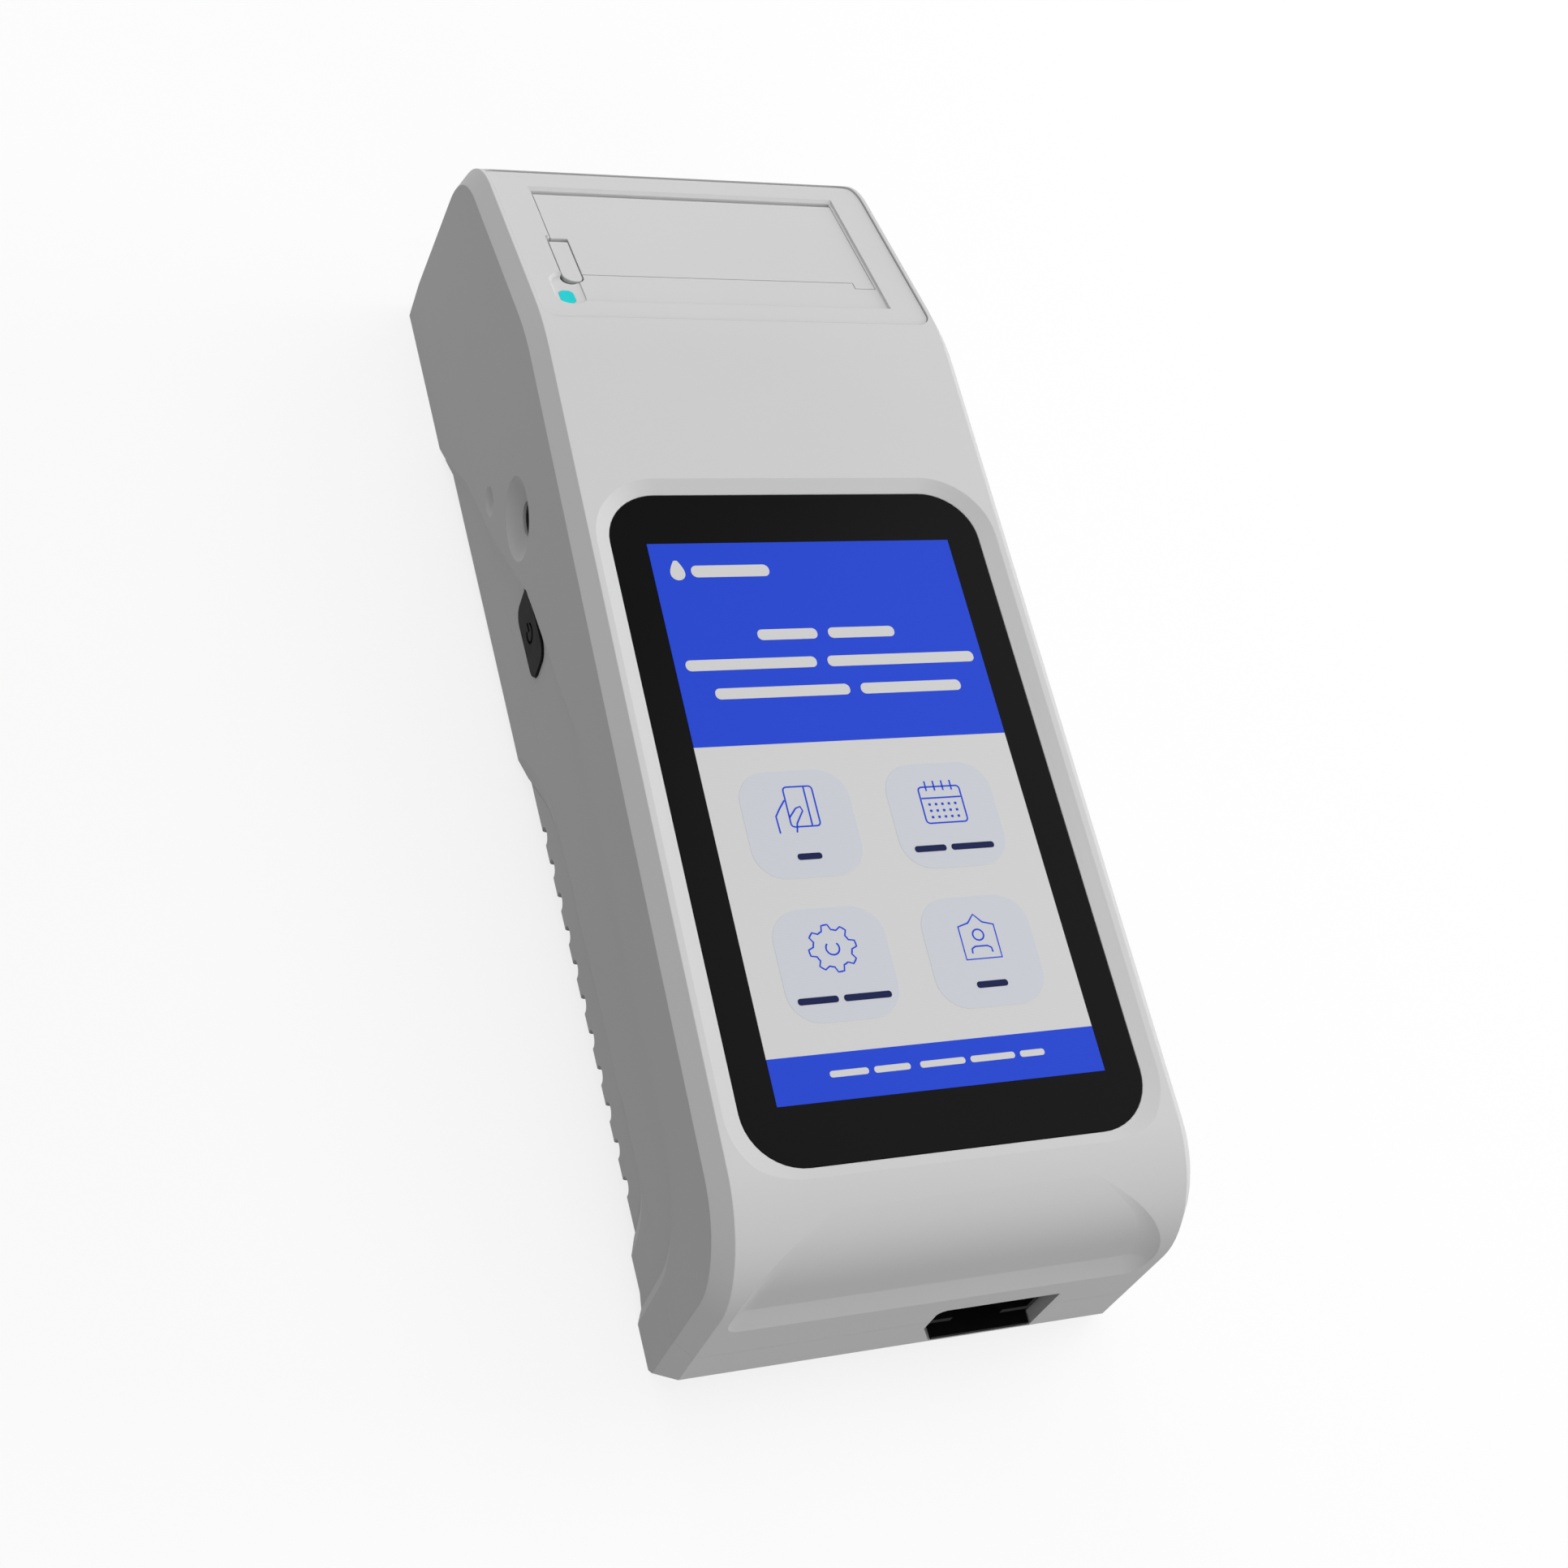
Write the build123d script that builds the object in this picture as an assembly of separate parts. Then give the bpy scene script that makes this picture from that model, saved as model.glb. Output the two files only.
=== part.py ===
from build123d import *
from functools import cache
import math
import os

# A handheld immunoassay analyzer lying on its back, in millimetres.
# X runs across it, Y from its foot to its printer head, and Z up out of the screen.
# The origin is the middle of the back.

# Casing, seen from the side
BODY_LENGTH = 262.0
BODY_WIDTH = 90.16
FOOT_HEIGHT = 52.4
BREAK_HEIGHT = 71.2
BREAK_FROM_HEAD = 73.0
RIDGE_HEIGHT = 59.55
RIDGE_FROM_HEAD = 13.15
SKIRT_HEIGHT = 12.3
SKIRT_SETBACK = 1.7
FOOT_RADIUS = 20.3
BREAK_RADIUS = 47.0
RIDGE_RADIUS = 22.0
FOOT_CHAMFER_HEIGHT = 6.4
FOOT_CHAMFER_LENGTH = 4.6
EDGE_CHAMFER_START = 5.1
EDGE_CHAMFER_WIDTH = 2.85
EDGE_CHAMFER_DEPTH = 3.45
WALL = 2.6
PARTING_HEIGHT = 17.0

# Clearances
SEAM_GAP = 0.15
SLIDE_GAP = 0.3
RUNNING_GAP = 0.05

# Stepped grip: corners as (distance from the foot end, height)
GRIP_DEPTH = 0.9
GRIP_BEVEL = 2.3
GRIP_BACK = 2.4
GRIP_BACK_SLOPE = 5.0
GRIP_CORNERS = [
    (218.1, -1.5),
    (197.0, 13.2),
    (177.0, 20.6),
    (151.0, 34.0),
    (113.2, 42.0),
    (14.3, 35.0),
    (13.1, -1.5),
]
GRIP_RADII = [0, 25, 30, 25, 12, 21, 0]

# Ribbed cover on the back
COVER_DEPTH = 1.8
COVER_BACK = 3.7
COVER_FOOT = 28.2
COVER_FOOT_TOP = 31.9
COVER_HEAD_TOP = 112.4
COVER_HEAD = 127.2
COVER_FOOT_RADIUS = 7.0
COVER_HEAD_RADIUS = 30.0
COVER_BAND_FOOT = 3.1
COVER_BAND_HEAD = 5.8
COVER_BAND_TOP = 3.0
COVER_WALL = 1.7
COVER_FLOOR = 4.3
COVER_EDGE = 1.2
GROOVE_COUNT = 11
GROOVE_PITCH = 7.55
GROOVE_RADIUS = 1.8
GROOVE_DEPTH = 3.3
FIRST_GROOVE = 37.3
COVER_SCREW_MARGIN = 3.9
COVER_SCREW_BITE = 4.0

# Touch screen
SCREEN_FROM_FOOT = 83.35
SCREEN_SINK = 1.15
SCREEN_LEAN = 0.46
GLASS_SIDE = 7.2
GLASS_LENGTH = 133.0
GLASS_RADIUS = 10.4
GLASS_THICKNESS = 1.2
GLASS_GAP = 0.15
DISH_WIDTH = 3.15
DISH_SHIFT = 0.5
GASKET_THICKNESS = 0.5
LEDGE_WIDTH = 3.0
LEDGE_THICKNESS = 2.5
FRAME_MARGIN = 3.0
MODULE_SIDE = 4.38
MODULE_END = 7.0
MODULE_THICKNESS = 4.2
BOARD_DROP = 11.0
BOARD_THICKNESS = 1.6
BOARD_SIDE = 0.5
BOARD_END = 1.5
BOARD_POST_RADIUS = 2.6
BOARD_POST_INSET = 4.0
CARRIER_THICKNESS = 0.8
SHIELD_INSET = 19.0
SHIELD_START = 4.0
SHIELD_LENGTH = 32.0
SHIELD_HEIGHT = 2.2
BUZZER_RADIUS = 5.0
BUZZER_HEIGHT = 4.0
BUZZER_HOLE_RADIUS = 1.0
BUZZER_HOLE_DEPTH = 1.5
BUZZER_SIDE = 13.0
BUZZER_Y = -12.0

# Foot scoop and slot
SCOOP_TOP_HEIGHT = 48.2
SCOOP_TOP_SETBACK = 2.4
SCOOP_CREASE_HEIGHT = 31.9
SCOOP_CREASE_SETBACK = 2.0
SCOOP_LIP_HEIGHT = 27.5
SCOOP_SIDE = 7.08
SCOOP_FLARE = 4.3
SCOOP_BROW_RADIUS = 16.0
SCOOP_CHEEK_RADIUS = 6.0
SCOOP_BACKING = 8.5
SLOT_SIDE = 18.58
SLOT_WIDTH = 24.1
SLOT_TOP = 22.0
SLOT_CORNER = 2.0
SLOT_CUT_WIDTH = 3.6
SLOT_CUT_HEIGHT = 7.3

# Cassette guide, tray and drive
LINER_WALL = 1.4
LINER_LENGTH = 86.0
LINER_MOUTH = 18.0
LINER_LIP = 1.0
TRAY_LENGTH = 76.0
TRAY_FLOOR = 1.5
TRAY_HEIGHT = 5.6
TRAY_POCKET_WIDTH = 20.0
TRAY_POCKET_LENGTH = 70.0
TRAY_WALL = 1.2
TRAY_SETBACK = 1.5
RACK_PITCH = 2.5
RACK_ROOT_SHARE = 0.14
RACK_TIP_SHARE = 0.11
TRAY_PINION_TEETH = 14
TRAY_PINION_FROM_FOOT = 31.0
TRAY_PINION_WIDTH = 3.2
TRAY_MOTOR_RADIUS = 6.5
TRAY_MOTOR_LENGTH = 12.0
MOTOR_TAIL = 1.0
OPTICS_FROM_FOOT = 60.0
OPTICS_LENGTH = 22.0
OPTICS_HEIGHT = 13.0
LENS_RADIUS = 4.0
LENS_DROP = 1.0
OPTICS_CORNER = 2.0

# Battery bay
BAY_FLOOR = 1.6
BAY_WALL = 1.2
CELL_SIDE = 1.98
CELL_LENGTH = 65.0
CELL_GAP = 0.6
CELL_NUB = 1.0
BAY_FOOT = 44.0
CONTACT_THICKNESS = 1.5
CONTACT_WIDTH = 12.5

# Printer, measured along and out of the head's slope from the door recess's low edge
DOOR_FROM_BREAK = 6.7
BEZEL_SIDE = 3.78
BEZEL_START = -4.9
BEZEL_END = 51.0
BEZEL_SINK = 0.4
BEZEL_THICKNESS = 2.4
BEZEL_RADIUS = 3.0
BEZEL_REACH = 9.0
SEAT_WIDTH = 2.6
SEAT_THICKNESS = 2.2
RECESS_SIDE = 10.98
RECESS_START = 0.5
RECESS_END = 41.1
RECESS_DEPTH = 0.6
DOOR_SIDE = 0.7
DOOR_START = 10.3
DOOR_JOG = 2.0
DOOR_JOG_SIDE = 4.4
DOOR_THICKNESS = 2.2
DOOR_RIB_DEPTH = 1.2
BARREL_RADIUS = 1.6
BARREL_AT = 38.6
DOOR_PIN_RADIUS = 0.8
RAIL_DEPTH = 6.4
RAIL_THICKNESS = 2.6
RAIL_START = 29.0
RAIL_END = 42.0
LEVER_SIDE = 0.0
LEVER_WIDTH = 3.9
LEVER_GAP = 0.55
LEVER_START = 7.85
LEVER_END = 22.6
LEVER_THICKNESS = 1.0
LEVER_TIP_RADIUS = 2.4
LEVER_TIP_CORNER = 1.3
LEVER_BARREL = 1.3
LEVER_PIN_RADIUS = 0.6
LEVER_LEG_WIDTH = 2.0
LEVER_LEG_SETBACK = 2.6
LEVER_LEG_DEPTH = 3.0
LEVER_LUG_DEPTH = 3.5
LEVER_HOLE_RADIUS = 1.9
LEVER_HOLE_SIDE = 1.25
LEVER_HOLE_AT = 8.95
LEVER_WELL_MARGIN = 1.0
LEVER_WELL_DROP = 0.8
LIGHT_SIDE = 0.7
LIGHT_AT = 2.7
LIGHT_WIDTH = 3.0
LIGHT_REACH = 4.2
LIGHT_CORNER = 1.2
LIGHT_LENGTH = 5.0
LIGHT_FLANGE = 0.6
LIGHT_FLANGE_THICKNESS = 1.0
HOLLOW_DEPTH = 0.2
HOLLOW_SIDE = 0.9
HOLLOW_WIDTH = 5.8
HOLLOW_START = -0.2
HOLLOW_END = 9.8
HOLLOW_SLOPE = 1.2
HOLLOW_RADIUS = 2.6
SCREW_INSET = 2.0
SMALL_SCREW_BITE = 2.0

# Print mechanism
PLATEN_AT = 14.4
PLATEN_DEPTH = 8.0
PLATEN_RADIUS = 3.5
PLATEN_END = 2.5
SHAFT_RADIUS = 1.5
BRACKET_THICKNESS = 1.6
BRACKET_RADIUS = 2.9
GEAR_MODULE = 0.5
GEAR_WIDTH = 2.0
PLATEN_TEETH = 15
IDLER_TEETH = 24
MOTOR_TEETH = 12
GEAR_SLACK = 0.16
GEAR_ROOT_DEPTH = 1.15
GEAR_TIP_HEIGHT = 0.85
GEAR_ROOT_SPREAD = 1.4
GEAR_TIP_SPREAD = 0.5
IDLER_AXLE_RADIUS = 1.04
IDLER_ANGLE = -79.0
MOTOR_ANGLE = -148.0
MOTOR_RADIUS = 7.0
MOTOR_LENGTH = 16.0
MOTOR_SHAFT_RADIUS = 0.8
HEAD_FACE_AT = 10.05
HEAD_BAR_THICKNESS = 3.0
HEAD_BAR_TOP = -4.6
HEAD_BAR_BOTTOM = -12.0
HEAD_STEP = 0.3
HEAD_STEP_DROP = 1.0
ROLL_AT = 36.0
ROLL_DEPTH = 24.0
ROLL_RADIUS = 17.5
ROLL_SIDE = 4.9
CORE_RADIUS = 6.5
CORE_BORE = 5.2
TROUGH_WALL = 1.4
TROUGH_GAP = 0.3
PLATE_THICKNESS = 1.5
PLATE_DROP = 0.8
PLATE_STEP = 2.0
SHAFT_NOTCH_GAP = 0.7
MOTOR_MARGIN = 1.0
TEAR_BAR_WIDTH = 1.2
TEAR_BAR_DEPTH = 0.9
TEAR_BAR_TEETH = 36

# Left side: socket, dimple and power key
SOCKET_FROM_KEY = 20.95
SOCKET_HEIGHT = 38.3
SOCKET_SCOOP_RADIUS = 8.5
SOCKET_SCOOP_DEPTH = 2.6
SOCKET_HOLE_RADIUS = 3.5
SOCKET_BOSS_DEPTH = 3.6
SOCKET_BODY_LENGTH = 11.0
SOCKET_BODY_WIDTH = 11.0
SOCKET_BORE_RADIUS = 2.8
SOCKET_BORE_DEPTH = 9.0
SOCKET_PIN_RADIUS = 1.0
DIMPLE_FROM_SOCKET = 16.0
DIMPLE_HEIGHT = 24.5
DIMPLE_RADIUS = 3.15
DIMPLE_DEPTH = 0.9
KEY_SHARE = 0.631
KEY_HEIGHT = 28.5
KEY_LENGTH = 16.9
KEY_WIDTH = 10.2
KEY_RADIUS = 3.0
KEY_PROUD = 0.5
KEY_FLANGE = 1.2
KEY_FLANGE_THICKNESS = 1.0
KEY_STEM_LENGTH = 2.0
KEY_STEM_RADIUS = 1.8
KEY_GAP = 0.2
KEY_TRAVEL = 0.5
SWITCH_SIZE = 6.0
SWITCH_THICKNESS = 2.4
SWITCH_PLUNGER = 1.0
SIDE_BOARD_THICKNESS = 1.2
SIDE_BOARD_MARGIN = 7.0
SIDE_POST_RADIUS = 2.2
SIDE_POST_INSET = 2.6

# Casing screws
SCREW_SIDE = 6.18
FOOT_SCREWS = 19.0
MIDDLE_SCREWS = 76.0
HEAD_SCREWS = 22.0
PILLAR_RADIUS = 3.6
PILLAR_TOP = 40.0
SCREW_RADIUS = 1.3
SCREW_HEAD_RADIUS = 2.5
SCREW_HEAD_HEIGHT = 1.8
SCREW_LENGTH = 19.0
SCREW_CROSS_SHARE = 0.6
SCREW_SLIT_SHARE = 0.12
SMALL_SCREW_RADIUS = 0.9
SMALL_HEAD_RADIUS = 1.7
SMALL_HEAD_HEIGHT = 1.2

# Values that follow from the sizes above
foot_y = -BODY_LENGTH / 2
head_y = BODY_LENGTH / 2
half_width = BODY_WIDTH / 2
inner_x = half_width - WALL
grip_x = half_width - GRIP_DEPTH
cover_x = half_width - COVER_DEPTH
break_y = head_y - BREAK_FROM_HEAD
face_slope = (BREAK_HEIGHT - FOOT_HEIGHT) / (BODY_LENGTH - BREAK_FROM_HEAD)
slope_drop = BREAK_HEIGHT - RIDGE_HEIGHT
slope_angle = math.atan2(slope_drop, BREAK_FROM_HEAD - RIDGE_FROM_HEAD)
face_angle = math.degrees(math.atan(face_slope))
cavity_floor = GRIP_BACK + WALL
screen_y = foot_y + SCREEN_FROM_FOOT
screen_face = FOOT_HEIGHT + face_slope * SCREEN_FROM_FOOT
glass_width = BODY_WIDTH - 2 * GLASS_SIDE
module_width = glass_width - 2 * MODULE_SIDE
module_length = GLASS_LENGTH - 2 * MODULE_END
board_width = module_width - 2 * BOARD_SIDE
board_length = module_length - 2 * BOARD_END
board_back = -BOARD_DROP - BOARD_THICKNESS
buzzer_x = BUZZER_SIDE - board_width / 2
screen = Plane(origin=(0, screen_y, screen_face - SCREEN_SINK)).rotated((face_angle - SCREEN_LEAN, 0, 0))
face_plane = Plane(origin=(0, screen_y, screen_face)).rotated((face_angle, 0, 0))
dish_rim = face_plane * Pos(0, -DISH_SHIFT, 0)
slope_start_y = break_y + DOOR_FROM_BREAK * math.cos(slope_angle)
slope_start_z = BREAK_HEIGHT - DOOR_FROM_BREAK * math.sin(slope_angle)
slope = Plane(origin=(0, slope_start_y, slope_start_z)).rotated((-math.degrees(slope_angle), 0, 0))
cover_top = PARTING_HEIGHT - COVER_BAND_TOP
cover_inside = COVER_BACK + COVER_FLOOR
core_x = cover_x - COVER_WALL - SLIDE_GAP
core_bottom = cover_inside + SLIDE_GAP
slot_right = half_width - SLOT_SIDE
slot_left = slot_right - SLOT_WIDTH
bay_left = CELL_SIDE - core_x
bay_right = slot_left - 2 * LINER_WALL - BAY_WALL - SLIDE_GAP
cell_radius = (bay_right - bay_left - CELL_GAP) / 4
screw_x = half_width - SCREW_SIDE
bay_top = core_bottom + BAY_FLOOR
bezel_x = half_width - BEZEL_SIDE
recess_x = half_width - RECESS_SIDE
door_x = recess_x - DOOR_SIDE
roll_width = 2 * (door_x - ROLL_SIDE)
platen_length = roll_width - 2 * PLATEN_END
bezel_under = -BEZEL_SINK - BEZEL_THICKNESS
door_skin = -BEZEL_SINK - RECESS_DEPTH
hollow_floor = door_skin - HOLLOW_DEPTH
door_under = door_skin - DOOR_THICKNESS
barrel_depth = door_skin - BARREL_RADIUS
platen_at = (PLATEN_AT, -PLATEN_DEPTH)
bracket_x = platen_length / 2 + SLIDE_GAP * 2
plate_x = roll_width / 2 + SLIDE_GAP * 2
gear_x = plate_x + PLATE_THICKNESS + SLIDE_GAP
lever_left = -recess_x - LEVER_SIDE
lever_right = lever_left + LEVER_WIDTH
lever_middle = (lever_left + lever_right) / 2
light_x = -recess_x - LIGHT_SIDE
lever_axis = (LEVER_END - LEVER_BARREL, door_skin - LEVER_BARREL)
rack_module = RACK_PITCH / math.pi
tray_low = bay_top + LINER_WALL + SLIDE_GAP
rack_tip = slot_right - SLIDE_GAP
rack_root = rack_tip - 2 * rack_module
pinion_x = rack_tip - rack_module + rack_module * TRAY_PINION_TEETH / 2
pinion_y = foot_y + TRAY_PINION_FROM_FOOT
slot_middle = (slot_left + slot_right) / 2
optics_y = foot_y + OPTICS_FROM_FOOT
bay_end = foot_y + BAY_FOOT + CELL_LENGTH + 2 * CONTACT_THICKNESS + 2 * SLIDE_GAP
side_reach = KEY_LENGTH / 2 + SIDE_BOARD_MARGIN
side_span = side_reach + SOCKET_FROM_KEY + SOCKET_BODY_WIDTH / 2
side_slack = head_y - MIDDLE_SCREWS - PILLAR_RADIUS - bay_end - side_span
key_y = bay_end + side_slack * KEY_SHARE + side_reach
socket_y = key_y + SOCKET_FROM_KEY
switch_x = -inner_x + KEY_GAP + KEY_FLANGE_THICKNESS + KEY_STEM_LENGTH + KEY_TRAVEL + KEY_GAP


def block(x0, x1, y0, y1, z0, z1):
    """A box between two opposite corners."""
    middle = Pos((x0 + x1) / 2, (y0 + y1) / 2, (z0 + z1) / 2)
    return middle * Box(x1 - x0, y1 - y0, z1 - z0)


def rod_x(radius, x0, x1, y, z):
    """A round bar along X."""
    return Pos((x0 + x1) / 2, y, z) * Rot(0, 90, 0) * Cylinder(radius, x1 - x0)


def rod_z(radius, x, y, z0, z1):
    """A round bar along Z."""
    return Pos(x, y, (z0 + z1) / 2) * Cylinder(radius, z1 - z0)


def side_prism(points, x0, x1, radii=0):
    """A closed outline in the side view, drawn as (Y, Z), carried from x0 to x1."""
    outline = FilletPolyline(*points, radius=radii, close=True) if radii else Polyline(*points, close=True)
    section = Plane(origin=(x0, 0, 0), x_dir=(0, 1, 0), z_dir=(1, 0, 0)) * make_face(outline)
    return extrude(section, amount=x1 - x0, dir=(1, 0, 0))


def meet(first, second, angle):
    """The centre of a gear of pitch radius second that meshes with one at first, in the direction angle."""
    reach = math.radians(angle)
    return (first[0] + second * math.cos(reach), first[1] + second * math.sin(reach))


def pitch_radius(teeth):
    """A spur gear's pitch radius."""
    return GEAR_MODULE * teeth / 2


@cache
def casing_blank(inset):
    """The casing's whole outer shape, with every face moved in by inset."""
    corners = [
        (foot_y + FOOT_CHAMFER_LENGTH, 0),
        (head_y, 0),
        (head_y - SKIRT_SETBACK, SKIRT_HEIGHT),
        (head_y - RIDGE_FROM_HEAD, RIDGE_HEIGHT),
        (break_y, BREAK_HEIGHT),
        (foot_y, FOOT_HEIGHT),
        (foot_y, FOOT_CHAMFER_HEIGHT),
    ]
    radii = [0, 0, 0, RIDGE_RADIUS, BREAK_RADIUS, FOOT_RADIUS, 0]
    section = make_face(FilletPolyline(*corners, radius=radii, close=True))
    if inset:
        section = offset(section, -inset, kind=Kind.INTERSECTION)
    reach = half_width - inset
    blank = extrude(Plane.YZ * section, amount=reach, both=True)
    for side in (Axis.X, -Axis.X):
        flank = blank.faces().sort_by(side)[-1]
        rims = [rim for rim in flank.edges() if rim.center().Z > inset + EDGE_CHAMFER_START]
        blank = chamfer(rims, EDGE_CHAMFER_DEPTH, EDGE_CHAMFER_WIDTH, reference=flank)
    return blank


def from_foot(points):
    """Corners given from the foot end, as side-view points."""
    return [(foot_y + along, height) for along, height in points]


def grip_recess():
    """The shallow step in both flanks and across the back, with a slanting wall round it."""
    points = from_foot(GRIP_CORNERS)
    outer = make_face(FilletPolyline(*points, radius=GRIP_RADII, close=True))
    inner = offset(outer, -GRIP_BEVEL, kind=Kind.INTERSECTION)
    recess = Part()
    for side in (-1, 1):
        near = Plane(origin=(side * half_width, 0, 0), x_dir=(0, 1, 0), z_dir=(1, 0, 0))
        deep = Plane(origin=(side * grip_x, 0, 0), x_dir=(0, 1, 0), z_dir=(1, 0, 0))
        recess += loft([near * outer, deep * inner], ruled=True)
        recess += extrude(near * outer, amount=WALL, dir=(side, 0, 0))
    start = foot_y + GRIP_CORNERS[-1][0]
    end = foot_y + GRIP_CORNERS[0][0]
    back = [
        (start, -WALL),
        (end, -WALL),
        (end, 0),
        (end - GRIP_BACK_SLOPE, GRIP_BACK),
        (start + GRIP_BACK_SLOPE, GRIP_BACK),
        (start, 0),
    ]
    return recess + side_prism(back, -BODY_WIDTH, BODY_WIDTH)


def cover_section(grow):
    """The ribbed cover's side outline, grown by a clearance."""
    points = from_foot([
        (COVER_FOOT, COVER_BACK),
        (COVER_FOOT_TOP, cover_top),
        (COVER_HEAD_TOP, cover_top),
        (COVER_HEAD, COVER_BACK),
    ])
    radii = [0, COVER_FOOT_RADIUS, COVER_HEAD_RADIUS, 0]
    section = make_face(FilletPolyline(*points, radius=radii, close=True))
    return offset(section, grow, kind=Kind.INTERSECTION) if grow else section


def band_section(foot_reach, head_reach, top):
    """The cover's side outline down to the back, with its ends moved out and its top at a height."""
    points = from_foot([
        (COVER_FOOT - foot_reach, 0),
        (COVER_FOOT - foot_reach, COVER_BACK),
        (COVER_FOOT_TOP - foot_reach, top),
        (COVER_HEAD_TOP + head_reach, top),
        (COVER_HEAD + head_reach, COVER_BACK),
        (COVER_HEAD + head_reach, 0),
    ])
    radii = [0, 0, COVER_FOOT_RADIUS + foot_reach, COVER_HEAD_RADIUS + head_reach, 0, 0]
    return make_face(FilletPolyline(*points, radius=radii, close=True))


def cover_band():
    """The slanting wall round the ribbed cover, from the grip's surface down to the cover's."""
    outer = band_section(COVER_BAND_FOOT, COVER_BAND_HEAD, PARTING_HEIGHT)
    inner = band_section(0, 0, cover_top)
    band = Part()
    for side in (-1, 1):
        near = Plane(origin=(side * grip_x, 0, 0), x_dir=(0, 1, 0), z_dir=(1, 0, 0))
        deep = Plane(origin=(side * cover_x, 0, 0), x_dir=(0, 1, 0), z_dir=(1, 0, 0))
        band += loft([near * outer, deep * inner], ruled=True)
    start = foot_y + COVER_FOOT
    end = foot_y + COVER_HEAD
    back = [
        (start - COVER_BAND_FOOT, -WALL),
        (start - COVER_BAND_FOOT, GRIP_BACK),
        (start, COVER_BACK),
        (end, COVER_BACK),
        (end + COVER_BAND_HEAD, GRIP_BACK),
        (end + COVER_BAND_HEAD, -WALL),
    ]
    return band + side_prism(back, -BODY_WIDTH, BODY_WIDTH)


def cover_space():
    """The room that the cover takes out of the lower casing, open to the back."""
    room = extrude(Plane.YZ * cover_section(SEAM_GAP), amount=BODY_WIDTH, both=True)
    start = foot_y + COVER_FOOT - SEAM_GAP
    end = foot_y + COVER_HEAD + SEAM_GAP
    room += block(-BODY_WIDTH, BODY_WIDTH, start, end, -WALL, COVER_BACK)
    return room - block(-core_x, core_x, start, end, core_bottom, PARTING_HEIGHT + WALL)


def foot_curve_middle():
    """The middle of the casing's rounded edge over the foot, in the side view."""
    face = math.radians(face_angle)
    drop = FOOT_RADIUS * (1 / math.cos(face) - math.tan(face))
    return Vector(foot_y + FOOT_RADIUS, FOOT_HEIGHT - drop)


def scoop_section():
    """The scoop's side view: lip, wall, and a brow that rolls into the casing's rounded edge."""
    outer_y = foot_y - WALL
    crease = Vector(foot_y + SCOOP_CREASE_SETBACK, SCOOP_CREASE_HEIGHT)
    top = Vector(foot_y + SCOOP_TOP_SETBACK, SCOOP_TOP_HEIGHT)
    along = (top - crease).normalized()
    inward = Vector(along.Y, -along.X)
    edge_middle = foot_curve_middle()
    start = crease + inward * SCOOP_BROW_RADIUS - edge_middle
    reach = FOOT_RADIUS - SCOOP_BROW_RADIUS
    half = start.dot(along)
    rise = -half + math.sqrt(half ** 2 - start.dot(start) + reach ** 2)
    brow_middle = edge_middle + start + along * rise
    low = crease + along * rise
    outward = (brow_middle - edge_middle).normalized()
    high = edge_middle + outward * FOOT_RADIUS
    bulge = brow_middle + (outward - inward).normalized() * SCOOP_BROW_RADIUS
    clear = high + outward * WALL
    wall = Polyline((outer_y, SCOOP_LIP_HEIGHT), (foot_y, SCOOP_LIP_HEIGHT), crease, low)
    brow = ThreePointArc(low, bulge, high)
    outside = Polyline(high, clear, (outer_y, clear.Y), (outer_y, SCOOP_LIP_HEIGHT))
    return make_face([wall, brow, outside])


def scoop():
    """The hollow across the front of the foot, and the sloping lip under it."""
    scoop_x = half_width - SCOOP_SIDE
    hollow = extrude(Plane.YZ * scoop_section(), amount=scoop_x + SCOOP_FLARE, both=True)
    for side in (-1, 1):
        cheek = Pos(side * scoop_x, foot_y + SCOOP_CREASE_SETBACK, 0) * Rot(0, 0, side * 45)
        outside = Box(BODY_WIDTH, BODY_WIDTH, BODY_WIDTH)
        hollow -= cheek * Pos(side * BODY_WIDTH / 2, 0, SCOOP_TOP_HEIGHT / 2) * outside
    top = hollow.bounding_box().max.Z - SEAM_GAP
    corners = [rim for rim in hollow.edges() if abs(rim.center().X) > scoop_x / 2]
    corners = [rim for rim in corners if rim.center().Y > foot_y and rim.center().Z < top]
    return fillet(corners, SCOOP_CHEEK_RADIUS)


def slot_section(gap):
    """The cassette slot's outline in the foot end, drawn as (X, Z), drawn in by gap."""
    left = slot_left + gap
    right = slot_right - gap
    top = SLOT_TOP - gap
    bottom = FOOT_CHAMFER_HEIGHT + gap
    points = [
        (left, bottom + SLOT_CUT_HEIGHT),
        (left + SLOT_CUT_WIDTH, bottom),
        (right, bottom),
        (right, top),
        (left, top),
    ]
    outline = FilletPolyline(*points, radius=[0, 0, 0, 0, SLOT_CORNER], close=True)
    return make_face(outline)


def slot_prism(gap, y0, y1):
    """The slot's outline carried from y0 to y1."""
    section = Plane(origin=(0, y1, 0), x_dir=(1, 0, 0), z_dir=(0, -1, 0)) * slot_section(gap)
    return extrude(section, amount=y1 - y0, dir=(0, -1, 0))


def glass_outline(grow):
    """The glass's rounded outline, grown by a margin."""
    width = glass_width + 2 * grow
    length = GLASS_LENGTH + 2 * grow
    return RectangleRounded(width, length, GLASS_RADIUS + grow)


def screen_plate(grow, low, high):
    """A plate of the glass's outline between two depths under the glass's face."""
    return extrude(screen * Pos(0, 0, low) * glass_outline(grow), amount=high - low, dir=screen.z_dir)


def screen_block(x0, x1, y0, y1, z0, z1):
    """A box in the glass's own frame."""
    return screen * block(x0, x1, y0, y1, z0, z1)


def screen_rod(radius, x, y, z0, z1):
    """A round bar square to the glass."""
    return screen * rod_z(radius, x, y, z0, z1)


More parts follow.
